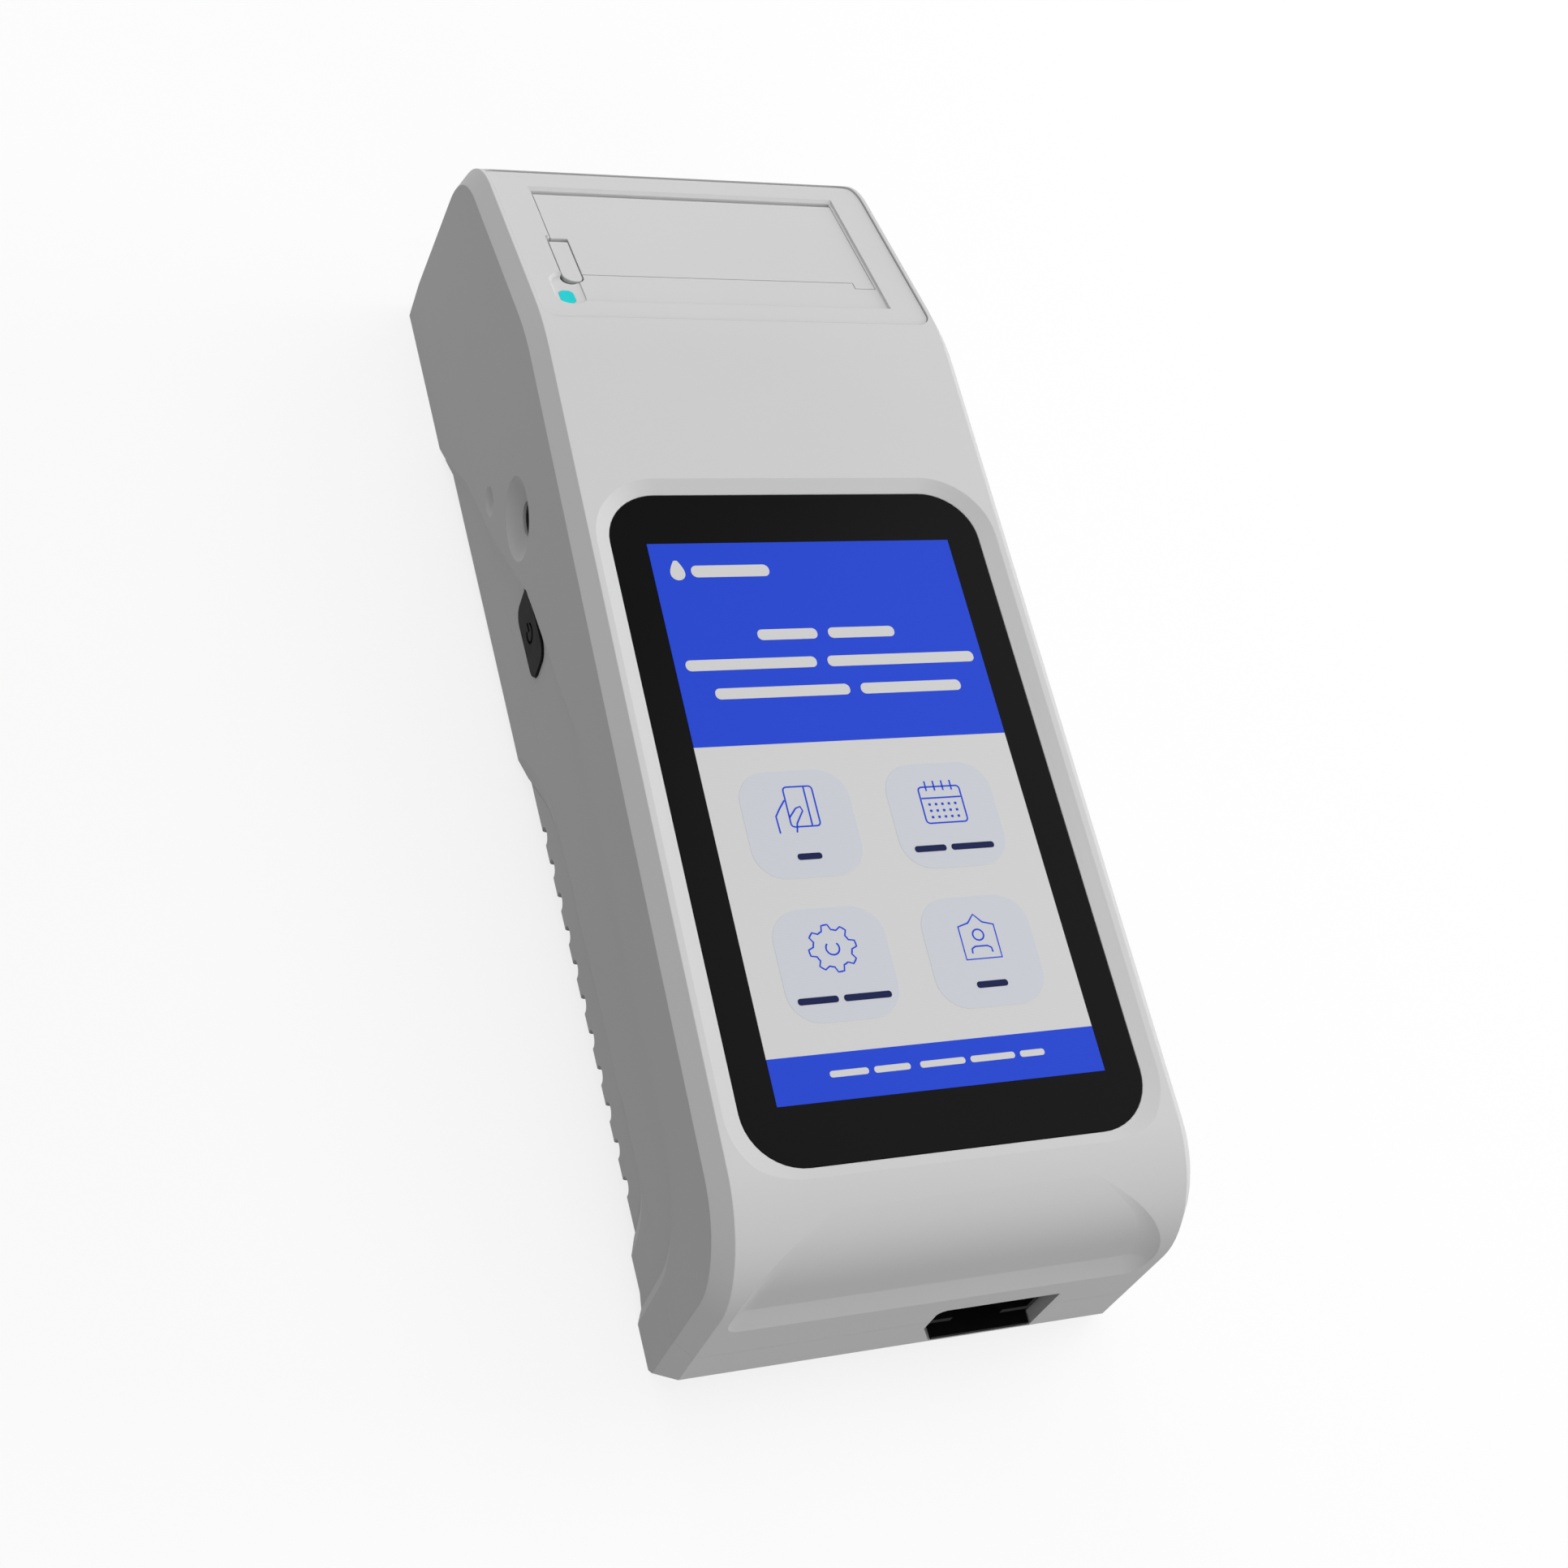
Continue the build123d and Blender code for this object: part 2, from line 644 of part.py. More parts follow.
def slope_block(x0, x1, t0, t1, n0, n1):
    """A box in the frame of the head's slope."""
    return slope * block(x0, x1, t0, t1, n0, n1)


def slope_rod(radius, x0, x1, at):
    """A round bar along X in the frame of the head's slope."""
    return slope * rod_x(radius, x0, x1, at[0], at[1])


def slope_prism(points, x0, x1):
    """A side-view outline in the frame of the head's slope, carried from x0 to x1."""
    return slope * side_prism(points, x0, x1)


def spots():
    """The casing screws' places."""
    rows = (foot_y + FOOT_SCREWS, head_y - MIDDLE_SCREWS, head_y - HEAD_SCREWS)
    return [(side * screw_x, y) for y in rows for side in (-1, 1)]


@cache
def cavity():
    """The room inside the two casings."""
    room = casing_blank(WALL)
    room &= block(-BODY_WIDTH, BODY_WIDTH, foot_y, head_y, cavity_floor, BREAK_HEIGHT)
    backing = foot_y + SCOOP_BACKING
    low = SCOOP_LIP_HEIGHT - WALL
    return room - block(-half_width, half_width, foot_y, backing, low, SCOOP_TOP_HEIGHT + WALL)


def dish():
    """The sloping hollow from the casing's front down to the glass."""
    low = screen * glass_outline(GLASS_GAP)
    high = dish_rim * glass_outline(DISH_WIDTH)
    hollow = loft([low, high], ruled=True)
    return hollow + extrude(high, amount=WALL, dir=face_plane.z_dir)


def screen_seat(shell):
    """The shell with its glass pocket, ledge, window and dish."""
    ledge_top = -GLASS_THICKNESS - GASKET_THICKNESS
    ledge_bottom = ledge_top - LEDGE_THICKNESS
    frame = screen_plate(FRAME_MARGIN, ledge_bottom, 0) - screen_plate(-LEDGE_WIDTH, ledge_bottom, 0)
    shell += frame & casing_blank(WALL / 4)
    shell -= screen_plate(-LEDGE_WIDTH, ledge_bottom - WALL, WALL)
    shell -= screen_plate(GLASS_GAP, ledge_top, WALL / 4)
    return shell - dish()


def bezel_zone(gap, deep, high):
    """The printer bezel's rounded outline through the slope, grown by a gap."""
    width = 2 * (bezel_x + gap)
    length = BEZEL_END - BEZEL_START + 2 * gap
    middle = Pos(0, (BEZEL_START + BEZEL_END) / 2, deep)
    outline = middle * RectangleRounded(width, length, BEZEL_RADIUS + gap)
    return extrude(slope * outline, amount=high - deep, dir=slope.z_dir)


def bezel_seat(shell):
    """The shell with the pocket and ledge that take the printer bezel."""
    under = BEZEL_SINK + BEZEL_THICKNESS
    ledge = casing_blank(WALL / 2) & bezel_zone(SEAT_WIDTH / 2, -BEZEL_REACH, WALL)
    shell += ledge - casing_blank(under + SEAT_THICKNESS)
    shell -= bezel_zone(SEAM_GAP, -BEZEL_REACH, WALL) - casing_blank(under)
    return shell - bezel_zone(-SEAT_WIDTH, -BEZEL_REACH - WALL, WALL)


def cap_tool(radius, depth, y, z):
    """A ball that cuts a round hollow of a given radius and depth in the left flank."""
    ball = (radius ** 2 + depth ** 2) / (2 * depth)
    return Pos(-half_width - ball + depth, y, z) * Rot(0, 90, 0) * Sphere(ball)


def socket_seat(shell):
    """The shell with the charging socket's scoop and hole, and the dimple beside it."""
    y = socket_y
    z = SOCKET_HEIGHT
    deep = -inner_x + SOCKET_BOSS_DEPTH
    shell += rod_x(SOCKET_SCOOP_RADIUS + WALL, -inner_x - GRIP_DEPTH, deep, y, z)
    shell -= cap_tool(SOCKET_SCOOP_RADIUS, SOCKET_SCOOP_DEPTH, y, z)
    shell -= rod_x(SOCKET_HOLE_RADIUS, -half_width, deep + WALL, y, z)
    return shell - cap_tool(DIMPLE_RADIUS, DIMPLE_DEPTH, y + DIMPLE_FROM_SOCKET, DIMPLE_HEIGHT)


def key_prism(grow, x0, x1):
    """The power key's rounded outline, carried from x0 to x1."""
    side = Plane(origin=(x0, key_y, KEY_HEIGHT), x_dir=(0, 1, 0), z_dir=(1, 0, 0))
    outline = RectangleRounded(KEY_LENGTH + 2 * grow, KEY_WIDTH + 2 * grow, KEY_RADIUS + grow)
    return extrude(side * outline, amount=x1 - x0, dir=(1, 0, 0))


def upper_shell():
    """Front casing: screen seat, head, foot scoop and screw pillars."""
    shell = casing_blank(0) - cavity()
    shell &= block(-half_width, half_width, foot_y, head_y, PARTING_HEIGHT, BREAK_HEIGHT)
    shell -= grip_recess()
    shell -= scoop()
    for x, y in spots():
        pillar = rod_z(PILLAR_RADIUS, x, y, PARTING_HEIGHT, PILLAR_TOP)
        shell += pillar & casing_blank(WALL / 2)
        shell -= rod_z(SCREW_RADIUS + RUNNING_GAP, x, y, 0, SCREW_LENGTH + cavity_floor)
    shell = screen_seat(shell)
    shell = bezel_seat(shell)
    shell = socket_seat(shell)
    shell -= key_prism(KEY_GAP, -half_width, -inner_x + WALL)
    shell -= slot_prism(0, foot_y - WALL, foot_y + WALL * 2)
    for y in side_post_spots():
        shell += rod_x(SIDE_POST_RADIUS, -inner_x - GRIP_DEPTH, switch_x + SWITCH_THICKNESS, y, KEY_HEIGHT)
    return shell


def side_post_spots():
    """Where the two posts of the power switch's board stand along the left wall."""
    reach = side_reach - SIDE_POST_INSET
    return [key_y - reach, key_y + reach]


def screw_bore(x, y):
    """A casing screw's stepped hole, open to the back."""
    head_top = cavity_floor
    bore = rod_z(SCREW_HEAD_RADIUS + SLIDE_GAP, x, y, -WALL, head_top)
    return bore + rod_z(SCREW_RADIUS + SLIDE_GAP, x, y, 0, PARTING_HEIGHT + WALL)


def battery_room(grow, low, high):
    """The room that the two battery cells and their contacts take, grown by a wall."""
    start = foot_y + BAY_FOOT
    return block(bay_left - grow, bay_right + grow, start - grow, bay_end + grow, low, high)


def lower_shell():
    """Back casing: screw bosses, the tub over the cover, and the battery bay."""
    low = block(-half_width, half_width, foot_y, head_y, 0, PARTING_HEIGHT)
    shell = (casing_blank(0) & low) - cavity()
    thick = extrude(Plane.YZ * cover_section(BAY_FLOOR), amount=inner_x, both=True)
    shell += thick & block(-half_width, half_width, foot_y, head_y, GRIP_BACK, PARTING_HEIGHT)
    start = foot_y + BAY_FOOT - 2 * BAY_WALL
    end = foot_y + COVER_HEAD_TOP
    shell -= block(-core_x + BAY_WALL, core_x - BAY_WALL, start, end, bay_top, PARTING_HEIGHT + WALL)
    liner_left = slot_left - 2 * LINER_WALL
    shell -= block(liner_left, core_x - BAY_WALL, foot_y + WALL, start, bay_top, SLOT_TOP)
    shell -= grip_recess()
    shell -= cover_band()
    shell -= cover_space()
    for x, y in spots():
        boss = rod_z(PILLAR_RADIUS, x, y, GRIP_BACK, PARTING_HEIGHT)
        shell += boss & casing_blank(WALL / 2)
        shell -= screw_bore(x, y)
    ceiling = bay_top + 2 * cell_radius + SLIDE_GAP
    bay = battery_room(BAY_WALL, core_bottom, ceiling + BAY_WALL)
    shell += bay & block(-core_x, core_x, foot_y, head_y, core_bottom, BREAK_HEIGHT)
    shell -= battery_room(0, core_bottom - WALL, ceiling)
    shell -= slot_prism(0, foot_y - WALL, foot_y + 2 * WALL)
    x, y = cover_screw_spot()
    bore_top = core_bottom + COVER_SCREW_BITE + SEAM_GAP
    shell -= rod_z(SCREW_RADIUS + RUNNING_GAP, x, y, core_bottom - WALL, bore_top)
    return shell


def cover_screw_spot():
    """The cover screw's place, in the plain band at the cover's foot end."""
    return (-screw_x / 2, foot_y + COVER_FOOT + COVER_SCREW_MARGIN)


def battery_cover():
    """The ribbed cover: a shallow channel that wraps from flank to flank."""
    cover = extrude(Plane.YZ * cover_section(0), amount=cover_x, both=True)
    long_edges = [rim for rim in cover.edges() if abs(rim.center().Z - COVER_BACK) < SEAM_GAP]
    long_edges = [rim for rim in long_edges if abs(rim.center().X) > cover_x / 2]
    cover = fillet(long_edges, COVER_EDGE)
    hollow_x = cover_x - COVER_WALL
    cover -= block(-hollow_x, hollow_x, foot_y, head_y, cover_inside, PARTING_HEIGHT)
    for index in range(GROOVE_COUNT):
        y = foot_y + FIRST_GROOVE + index * GROOVE_PITCH
        top = COVER_BACK + GROOVE_DEPTH
        cover -= rod_x(GROOVE_RADIUS, -half_width, half_width, y, top - GROOVE_RADIUS)
        cover -= block(-half_width, half_width, y - GROOVE_RADIUS, y + GROOVE_RADIUS, 0, top - GROOVE_RADIUS)
    x, y = cover_screw_spot()
    cover -= rod_z(SCREW_RADIUS + RUNNING_GAP, x, y, 0, cover_inside + WALL)
    return cover - rod_z(SCREW_HEAD_RADIUS + SLIDE_GAP, x, y, 0, COVER_BACK + SCREW_HEAD_HEIGHT + SEAM_GAP)


def screw(x, y, head_top, length, radius, head_radius, head_height):
    """A pan-head screw pointing up, with a cross recess in its head."""
    body = rod_z(radius, x, y, head_top - head_height / 2, head_top + length)
    head = rod_z(head_radius, x, y, head_top - head_height, head_top)
    arm = head_radius * SCREW_CROSS_SHARE
    slit = head_radius * SCREW_SLIT_SHARE
    recess = Box(2 * arm, 2 * slit, head_height) + Box(2 * slit, 2 * arm, head_height)
    return body + head - Pos(x, y, head_top - head_height) * recess


def shell_screws():
    """The six screws that hold the casings together."""
    size = (SCREW_RADIUS, SCREW_HEAD_RADIUS, SCREW_HEAD_HEIGHT)
    screws = [screw(x, y, cavity_floor, SCREW_LENGTH, *size) for x, y in spots()]
    return Compound(children=screws)


def cover_screw():
    """The captive screw at the ribbed cover's foot end."""
    x, y = cover_screw_spot()
    seat = COVER_BACK + SCREW_HEAD_HEIGHT + SEAM_GAP
    length = core_bottom + COVER_SCREW_BITE - seat
    return screw(x, y, seat, length, SCREW_RADIUS, SCREW_HEAD_RADIUS, SCREW_HEAD_HEIGHT)


def battery_cells():
    """Two round cells side by side, each with its raised end."""
    room = battery_room(0, bay_top, bay_top + 2 * cell_radius).bounding_box()
    start = room.min.Y + CONTACT_THICKNESS + SLIDE_GAP
    cells = []
    for x in (room.min.X + cell_radius, room.max.X - cell_radius):
        at = Pos(x, start, bay_top + cell_radius) * Rot(-90, 0, 0)
        length = CELL_LENGTH - CELL_NUB
        can = at * Pos(0, 0, length / 2) * Cylinder(cell_radius - SLIDE_GAP, length)
        tip = at * Pos(0, 0, CELL_LENGTH - CELL_NUB / 2) * Cylinder(cell_radius / 3, CELL_NUB)
        cells.append(can + tip)
    return Compound(children=cells)


def battery_contacts():
    """The contact plates at both ends of each cell."""
    room = battery_room(0, bay_top, bay_top + 2 * cell_radius).bounding_box()
    plates = []
    for x in (room.min.X + cell_radius, room.max.X - cell_radius):
        for y in (room.min.Y, room.max.Y - CONTACT_THICKNESS):
            reach = CONTACT_WIDTH / 2
            low = bay_top + cell_radius - reach
            plates.append(block(x - reach, x + reach, y, y + CONTACT_THICKNESS, low, low + CONTACT_WIDTH))
    return Compound(children=plates)


def touch_glass():
    """The cover glass over the whole screen."""
    return screen_plate(0, -GLASS_THICKNESS, 0)


def display_gasket():
    """The foam ring between the glass and its ledge."""
    low = -GLASS_THICKNESS - GASKET_THICKNESS
    ring = screen_plate(-GLASS_GAP, low, -GLASS_THICKNESS)
    return ring - screen_plate(-LEDGE_WIDTH, low, -GLASS_THICKNESS)


def display_module():
    """The display behind the glass, in a thin metal tray."""
    low = -GLASS_THICKNESS - MODULE_THICKNESS
    x = module_width / 2
    y = module_length / 2
    return screen_block(-x, x, -y, y, low, -GLASS_THICKNESS)


def board_spots():
    """The main board's screw places."""
    x = board_width / 2 - BOARD_POST_INSET
    y = board_length / 2 - BOARD_POST_INSET
    return [(side * x, end * y) for side in (-1, 1) for end in (-1, 1)]


def display_carrier():
    """The metal carrier on the display's back, with four stand-offs for the main board."""
    top = -GLASS_THICKNESS - MODULE_THICKNESS
    low = top - CARRIER_THICKNESS
    x = module_width / 2
    y = module_length / 2
    carrier = screen_block(-x, x, -y, y, low, top)
    for post_x, post_y in board_spots():
        carrier += screen_rod(BOARD_POST_RADIUS, post_x, post_y, -BOARD_DROP, top)
        carrier -= screen_rod(SMALL_SCREW_RADIUS + RUNNING_GAP, post_x, post_y, -BOARD_DROP - WALL, low)
    return carrier


def main_board():
    """The main circuit board under the display."""
    x = board_width / 2
    y = board_length / 2
    board = screen_block(-x, x, -y, y, board_back, -BOARD_DROP)
    for post_x, post_y in board_spots():
        board -= screen_rod(SMALL_SCREW_RADIUS + SEAM_GAP, post_x, post_y, -2 * BOARD_DROP, 0)
    return board


def board_shield():
    """The metal can over the processor, on the board's back."""
    x = board_width / 2 - SHIELD_INSET
    end = SHIELD_START + SHIELD_LENGTH
    return screen_block(-x, x, SHIELD_START, end, board_back - SHIELD_HEIGHT, board_back)


def buzzer():
    """The round buzzer on the board's back."""
    low = board_back - BUZZER_HEIGHT
    case = screen_rod(BUZZER_RADIUS, buzzer_x, BUZZER_Y, low, board_back)
    return case - screen_rod(BUZZER_HOLE_RADIUS, buzzer_x, BUZZER_Y, low, low + BUZZER_HOLE_DEPTH)


def board_screws():
    """The four screws that hold the main board to the carrier's stand-offs."""
    length = BOARD_DROP - GLASS_THICKNESS - MODULE_THICKNESS
    size = (SMALL_SCREW_RADIUS, SMALL_HEAD_RADIUS, SMALL_HEAD_HEIGHT)
    screws = [screen * screw(x, y, board_back, length, *size) for x, y in board_spots()]
    return Compound(children=screws)


def printer_bezel():
    """The frame let into the head's slope: recess, door opening, hinge rails and lever lug."""
    bezel = casing_blank(BEZEL_SINK) & bezel_zone(0, -BEZEL_REACH, WALL)
    bezel -= casing_blank(-bezel_under)
    opening_end = BARREL_AT + BARREL_RADIUS + SEAM_GAP
    opening_x = door_x + SEAM_GAP
    recess = [
        (RECESS_START, door_skin),
        (opening_end, door_skin),
        (RECESS_END, -BEZEL_SINK),
        (RECESS_END, WALL),
        (RECESS_START, WALL),
    ]
    bezel -= slope_prism(recess, -recess_x, recess_x)
    bezel -= slope_block(-opening_x, opening_x, DOOR_START - SEAM_GAP, opening_end, -BEZEL_REACH, WALL)
    jog_start = DOOR_START - DOOR_JOG - SEAM_GAP
    jog_x = door_x - DOOR_JOG_SIDE - SEAM_GAP
    bezel -= slope_block(jog_x, opening_x, jog_start, BARREL_AT, -BEZEL_REACH, WALL)
    for side in (-1, 1):
        near = side * (door_x + SLIDE_GAP)
        far = near + side * RAIL_THICKNESS
        bezel += slope_block(min(near, far), max(near, far), RAIL_START, RAIL_END, -RAIL_DEPTH, door_skin)
    bezel -= slope_rod(DOOR_PIN_RADIUS + RUNNING_GAP, -half_width, half_width, (BARREL_AT, barrel_depth))
    for x, t in printer_screw_spots():
        hole = rod_z(SMALL_SCREW_RADIUS + RUNNING_GAP, x, t, -RAIL_DEPTH - WALL, -RAIL_DEPTH + WALL)
        bezel -= slope * hole
    return lever_and_light_holes(bezel)


def light_hollow(bezel):
    """The bezel with the soft hollow that the status light and the lever's tip lie in."""
    length = HOLLOW_END - HOLLOW_START
    right = lever_right - HOLLOW_SIDE
    middle = (HOLLOW_START + HOLLOW_END) / 2
    floor = Pos(right - HOLLOW_WIDTH / 2, middle, hollow_floor)
    rim = Pos(right - HOLLOW_WIDTH / 2 - HOLLOW_SLOPE / 2, middle, SEAM_GAP)
    low = RectangleRounded(HOLLOW_WIDTH, length, HOLLOW_RADIUS)
    high_radius = HOLLOW_RADIUS + HOLLOW_SLOPE / 2
    high = RectangleRounded(HOLLOW_WIDTH + HOLLOW_SLOPE, length + HOLLOW_SLOPE, high_radius)
    return bezel - loft([slope * (floor * low), slope * (rim * high)], ruled=True)


def lever_and_light_holes(bezel):
    """The bezel with the lever's opening, lug and thumb hole, and the status light's hole and hollow."""
    bezel = light_hollow(bezel)
    lug_right = lever_left - LEVER_GAP
    lug_left = lug_right - RAIL_THICKNESS
    lug_low = door_skin - LEVER_LUG_DEPTH
    bezel += slope_block(lug_left, lug_right, LEVER_END - 2 * LEVER_BARREL, LEVER_END, lug_low, door_skin)
    opening_t = LEVER_START + LEVER_TIP_RADIUS
    top = LEVER_END + SLIDE_GAP
    opening = slope_block(lug_right, lever_right + SLIDE_GAP, opening_t, top, -BEZEL_REACH, WALL)
    bezel -= opening + lever_plate(SLIDE_GAP, -BEZEL_REACH, WALL)
    bezel -= slope_rod(LEVER_PIN_RADIUS + RUNNING_GAP, -half_width, lug_right + WALL, lever_axis)
    thumb_x = lever_left + LEVER_HOLE_SIDE
    bezel -= slope * rod_z(LEVER_HOLE_RADIUS, thumb_x, LEVER_HOLE_AT, -BEZEL_REACH, WALL)
    well_radius = LEVER_HOLE_RADIUS + LEVER_WELL_MARGIN
    well_top = hollow_floor - LEVER_WELL_DROP
    bezel -= slope * rod_z(well_radius, thumb_x, LEVER_HOLE_AT, -BEZEL_REACH, well_top)
    return bezel - light_plate(RUNNING_GAP, -BEZEL_REACH, WALL)


def printer_screw_spots():
    """The four screws that hold the printer frame up against the bezel's rails."""
    x = door_x + SLIDE_GAP + RAIL_THICKNESS / 2
    return [(side * x, t) for side in (-1, 1) for t in (RAIL_START + SCREW_INSET, RAIL_END - SCREW_INSET)]


def printer_screws():
    """Small screws up through the frame's flanges."""
    seat = -RAIL_DEPTH - PLATE_THICKNESS
    size = (SMALL_SCREW_RADIUS, SMALL_HEAD_RADIUS, SMALL_HEAD_HEIGHT)
    length = PLATE_THICKNESS + SMALL_SCREW_BITE
    screws = [slope * screw(x, t, seat, length, *size) for x, t in printer_screw_spots()]
    return Compound(children=screws)


def printer_door():
    """The lid over the paper roll, with its hinge barrel and the brackets that carry the platen."""
    door = slope_block(-door_x, door_x, DOOR_START, BARREL_AT, door_under, door_skin)
    jog_start = DOOR_START - DOOR_JOG
    door += slope_block(door_x - DOOR_JOG_SIDE, door_x, jog_start, BARREL_AT, door_under, door_skin)
    door += slope_rod(BARREL_RADIUS, -door_x, door_x, (BARREL_AT, barrel_depth))
    notch_right = lever_right + SLIDE_GAP
    door -= slope_block(-half_width, notch_right, 0, LEVER_END + SLIDE_GAP, -BEZEL_REACH, WALL)
    for side in (-1, 1):
        near = side * bracket_x
        far = near + side * BRACKET_THICKNESS
        x0 = min(near, far)
        x1 = max(near, far)
        t0 = PLATEN_AT - BRACKET_RADIUS
        t1 = PLATEN_AT + BRACKET_RADIUS
        door += slope_block(x0, x1, t0, t1, -PLATEN_DEPTH, door_under)
        door += slope_rod(BRACKET_RADIUS, x0, x1, platen_at)
    rib_x = bracket_x - SLIDE_GAP
    rib_t = (PLATEN_AT + PLATEN_RADIUS + BARREL_AT) / 2
    rib_low = door_under - DOOR_RIB_DEPTH
    door += slope_block(-rib_x, rib_x, rib_t, rib_t + BRACKET_THICKNESS, rib_low, door_under)
    door -= slope_rod(SHAFT_RADIUS + RUNNING_GAP, -half_width, half_width, platen_at)
    hinge_at = (BARREL_AT, barrel_depth)
    return door - slope_rod(DOOR_PIN_RADIUS + RUNNING_GAP, -half_width, half_width, hinge_at)


def door_hinge_pin():
    """The pin along the door's top edge."""
    reach = door_x + SLIDE_GAP + RAIL_THICKNESS
    return slope_rod(DOOR_PIN_RADIUS, -reach, reach, (BARREL_AT, barrel_depth))


def lever_plate(grow, low, high):
    """The lever's outline with its lopsided round tip, grown by a gap, between two depths."""
    left = lever_left - grow
    right = lever_right + grow
    start = LEVER_START - grow
    end = lever_axis[0] + grow
    corners = [(left, end), (left, start), (right, start), (right, end)]
    radii = [0, LEVER_TIP_RADIUS + grow, LEVER_TIP_CORNER + grow, 0]
    outline = make_face(FilletPolyline(*corners, radius=radii, close=True))
    return extrude(slope * (Pos(0, 0, low) * outline), amount=high - low, dir=slope.z_dir)


def release_lever():
    """The narrow lever at the door's left edge, with a round tip, a barrel at its top and a catch leg."""
    under = door_skin - LEVER_THICKNESS
    lever = lever_plate(0, under, door_skin)
    lever += slope_rod(LEVER_BARREL, lever_left, lever_right, lever_axis)
    leg_t = LEVER_START + LEVER_LEG_SETBACK
    leg_x = LEVER_LEG_WIDTH / 2
    leg_low = under - LEVER_LEG_DEPTH
    leg_end = leg_t + LEVER_LEG_WIDTH
    lever += slope_block(lever_middle - leg_x, lever_middle + leg_x, leg_t, leg_end, leg_low, under)
    return lever - slope_rod(LEVER_PIN_RADIUS + RUNNING_GAP, -half_width, 0, lever_axis)


def lever_pin():
    """The lever's short pin, held in the bezel's lug."""
    left = lever_left - SLIDE_GAP - RAIL_THICKNESS
    return slope_rod(LEVER_PIN_RADIUS, left, lever_right, lever_axis)


def light_plate(grow, low, high):
    """The light guide's rounded outline, grown by a margin, between two depths."""
    outline = RectangleRounded(LIGHT_WIDTH + 2 * grow, LIGHT_REACH + 2 * grow, LIGHT_CORNER + grow)
    return extrude(slope * (Pos(light_x, LIGHT_AT, low) * outline), amount=high - low, dir=slope.z_dir)


def status_light():
    """The light guide beside the door, with a flange under the bezel."""
    under = bezel_under - SEAM_GAP
    guide = light_plate(0, under - LIGHT_LENGTH / 2, hollow_floor + RUNNING_GAP)
    return guide + light_plate(LIGHT_FLANGE, under - LIGHT_FLANGE_THICKNESS, under)


def tear_bar():
    """The toothed blade under the front edge of the paper slot."""
    edge = DOOR_START - SEAM_GAP
    half = platen_length / 2 + BRACKET_THICKNESS
    pitch = 2 * half / TEAR_BAR_TEETH
    points = [(-half, edge - TEAR_BAR_WIDTH * 2)]
    for index in range(TEAR_BAR_TEETH):
        x = -half + index * pitch
        points.append((x, edge - TEAR_BAR_WIDTH / 2))
        points.append((x + pitch / 2, edge))
    points.append((half, edge - TEAR_BAR_WIDTH / 2))
    points.append((half, edge - TEAR_BAR_WIDTH * 2))
    blade = slope * Pos(0, 0, bezel_under - TEAR_BAR_DEPTH) * make_face(Polyline(*points, close=True))
    return extrude(blade, amount=TEAR_BAR_DEPTH, dir=slope.z_dir)


def gear(module, teeth, phase, width):
    """A spur gear about Z from Z=0 up, with one tooth at the angle phase."""
    pitch = module * teeth / 2
    root = pitch - GEAR_ROOT_DEPTH * module
    tip = pitch + GEAR_TIP_HEIGHT * module
    slack = math.degrees(GEAR_SLACK * module / pitch)
    rising = [(root, -GEAR_ROOT_SPREAD), (tip, -GEAR_TIP_SPREAD)]
    flanks = rising + [(tip, GEAR_TIP_SPREAD), (root, GEAR_ROOT_SPREAD)]
    points = []
    for index in range(teeth):
        middle = phase + index * 360 / teeth
        half = 90 / teeth - slack
        for radius, spread in flanks:
            angle = math.radians(middle + spread * half)
            points.append((radius * math.cos(angle), radius * math.sin(angle)))
    return extrude(make_face(Polyline(*points, close=True)), amount=width)


def mesh_phase(phase, teeth, angle, other):
    """The phase of a gear of other teeth that meshes with a gear of teeth, in the direction angle."""
    return angle + 180 + (angle - phase) * teeth / other + 180 / other


def slope_gear(teeth, phase, at, bore):
    """A gear of the print train, square to X in the frame of the head's slope."""
    blank = gear(GEAR_MODULE, teeth, phase, GEAR_WIDTH)
    side = Plane(origin=(gear_x, at[0], at[1]), x_dir=(0, 1, 0), z_dir=(1, 0, 0))
    toothed = slope * (side * blank)
    return toothed - slope_rod(bore, gear_x - WALL, gear_x + GEAR_WIDTH + WALL, at)


def platen_roller():
    """The rubber roller that presses the paper on the print head."""
    roller = slope_rod(PLATEN_RADIUS, -platen_length / 2, platen_length / 2, platen_at)
    return roller - slope_rod(SHAFT_RADIUS + RUNNING_GAP, -half_width, half_width, platen_at)


def platen_shaft():
    """The steel shaft through the roller and its gear."""
    return slope_rod(SHAFT_RADIUS, -bracket_x - 2 * BRACKET_THICKNESS, gear_x + GEAR_WIDTH, platen_at)


def platen_gear():
    """The gear on the platen shaft's right end."""
    return slope_gear(PLATEN_TEETH, IDLER_ANGLE, platen_at, SHAFT_RADIUS + RUNNING_GAP)


def idler_gear():
    """The gear between the motor and the platen."""
    return slope_gear(IDLER_TEETH, idler_phase, idler_at, IDLER_AXLE_RADIUS + RUNNING_GAP)


def motor_pinion():
    """The feed motor's pinion and shaft."""
    pinion = slope_gear(MOTOR_TEETH, pinion_phase, pinion_at, MOTOR_SHAFT_RADIUS / 2)
    return pinion + slope_rod(MOTOR_SHAFT_RADIUS, plate_x + SEAM_GAP, gear_x + GEAR_WIDTH, pinion_at)


def feed_motor():
    """The motor that drives the platen, bolted inside the frame's right plate."""
    left = plate_x - MOTOR_LENGTH
    can = slope_rod(MOTOR_RADIUS, left, plate_x, pinion_at)
    return can + slope_rod(MOTOR_RADIUS / 2, left - MOTOR_TAIL, left, pinion_at)


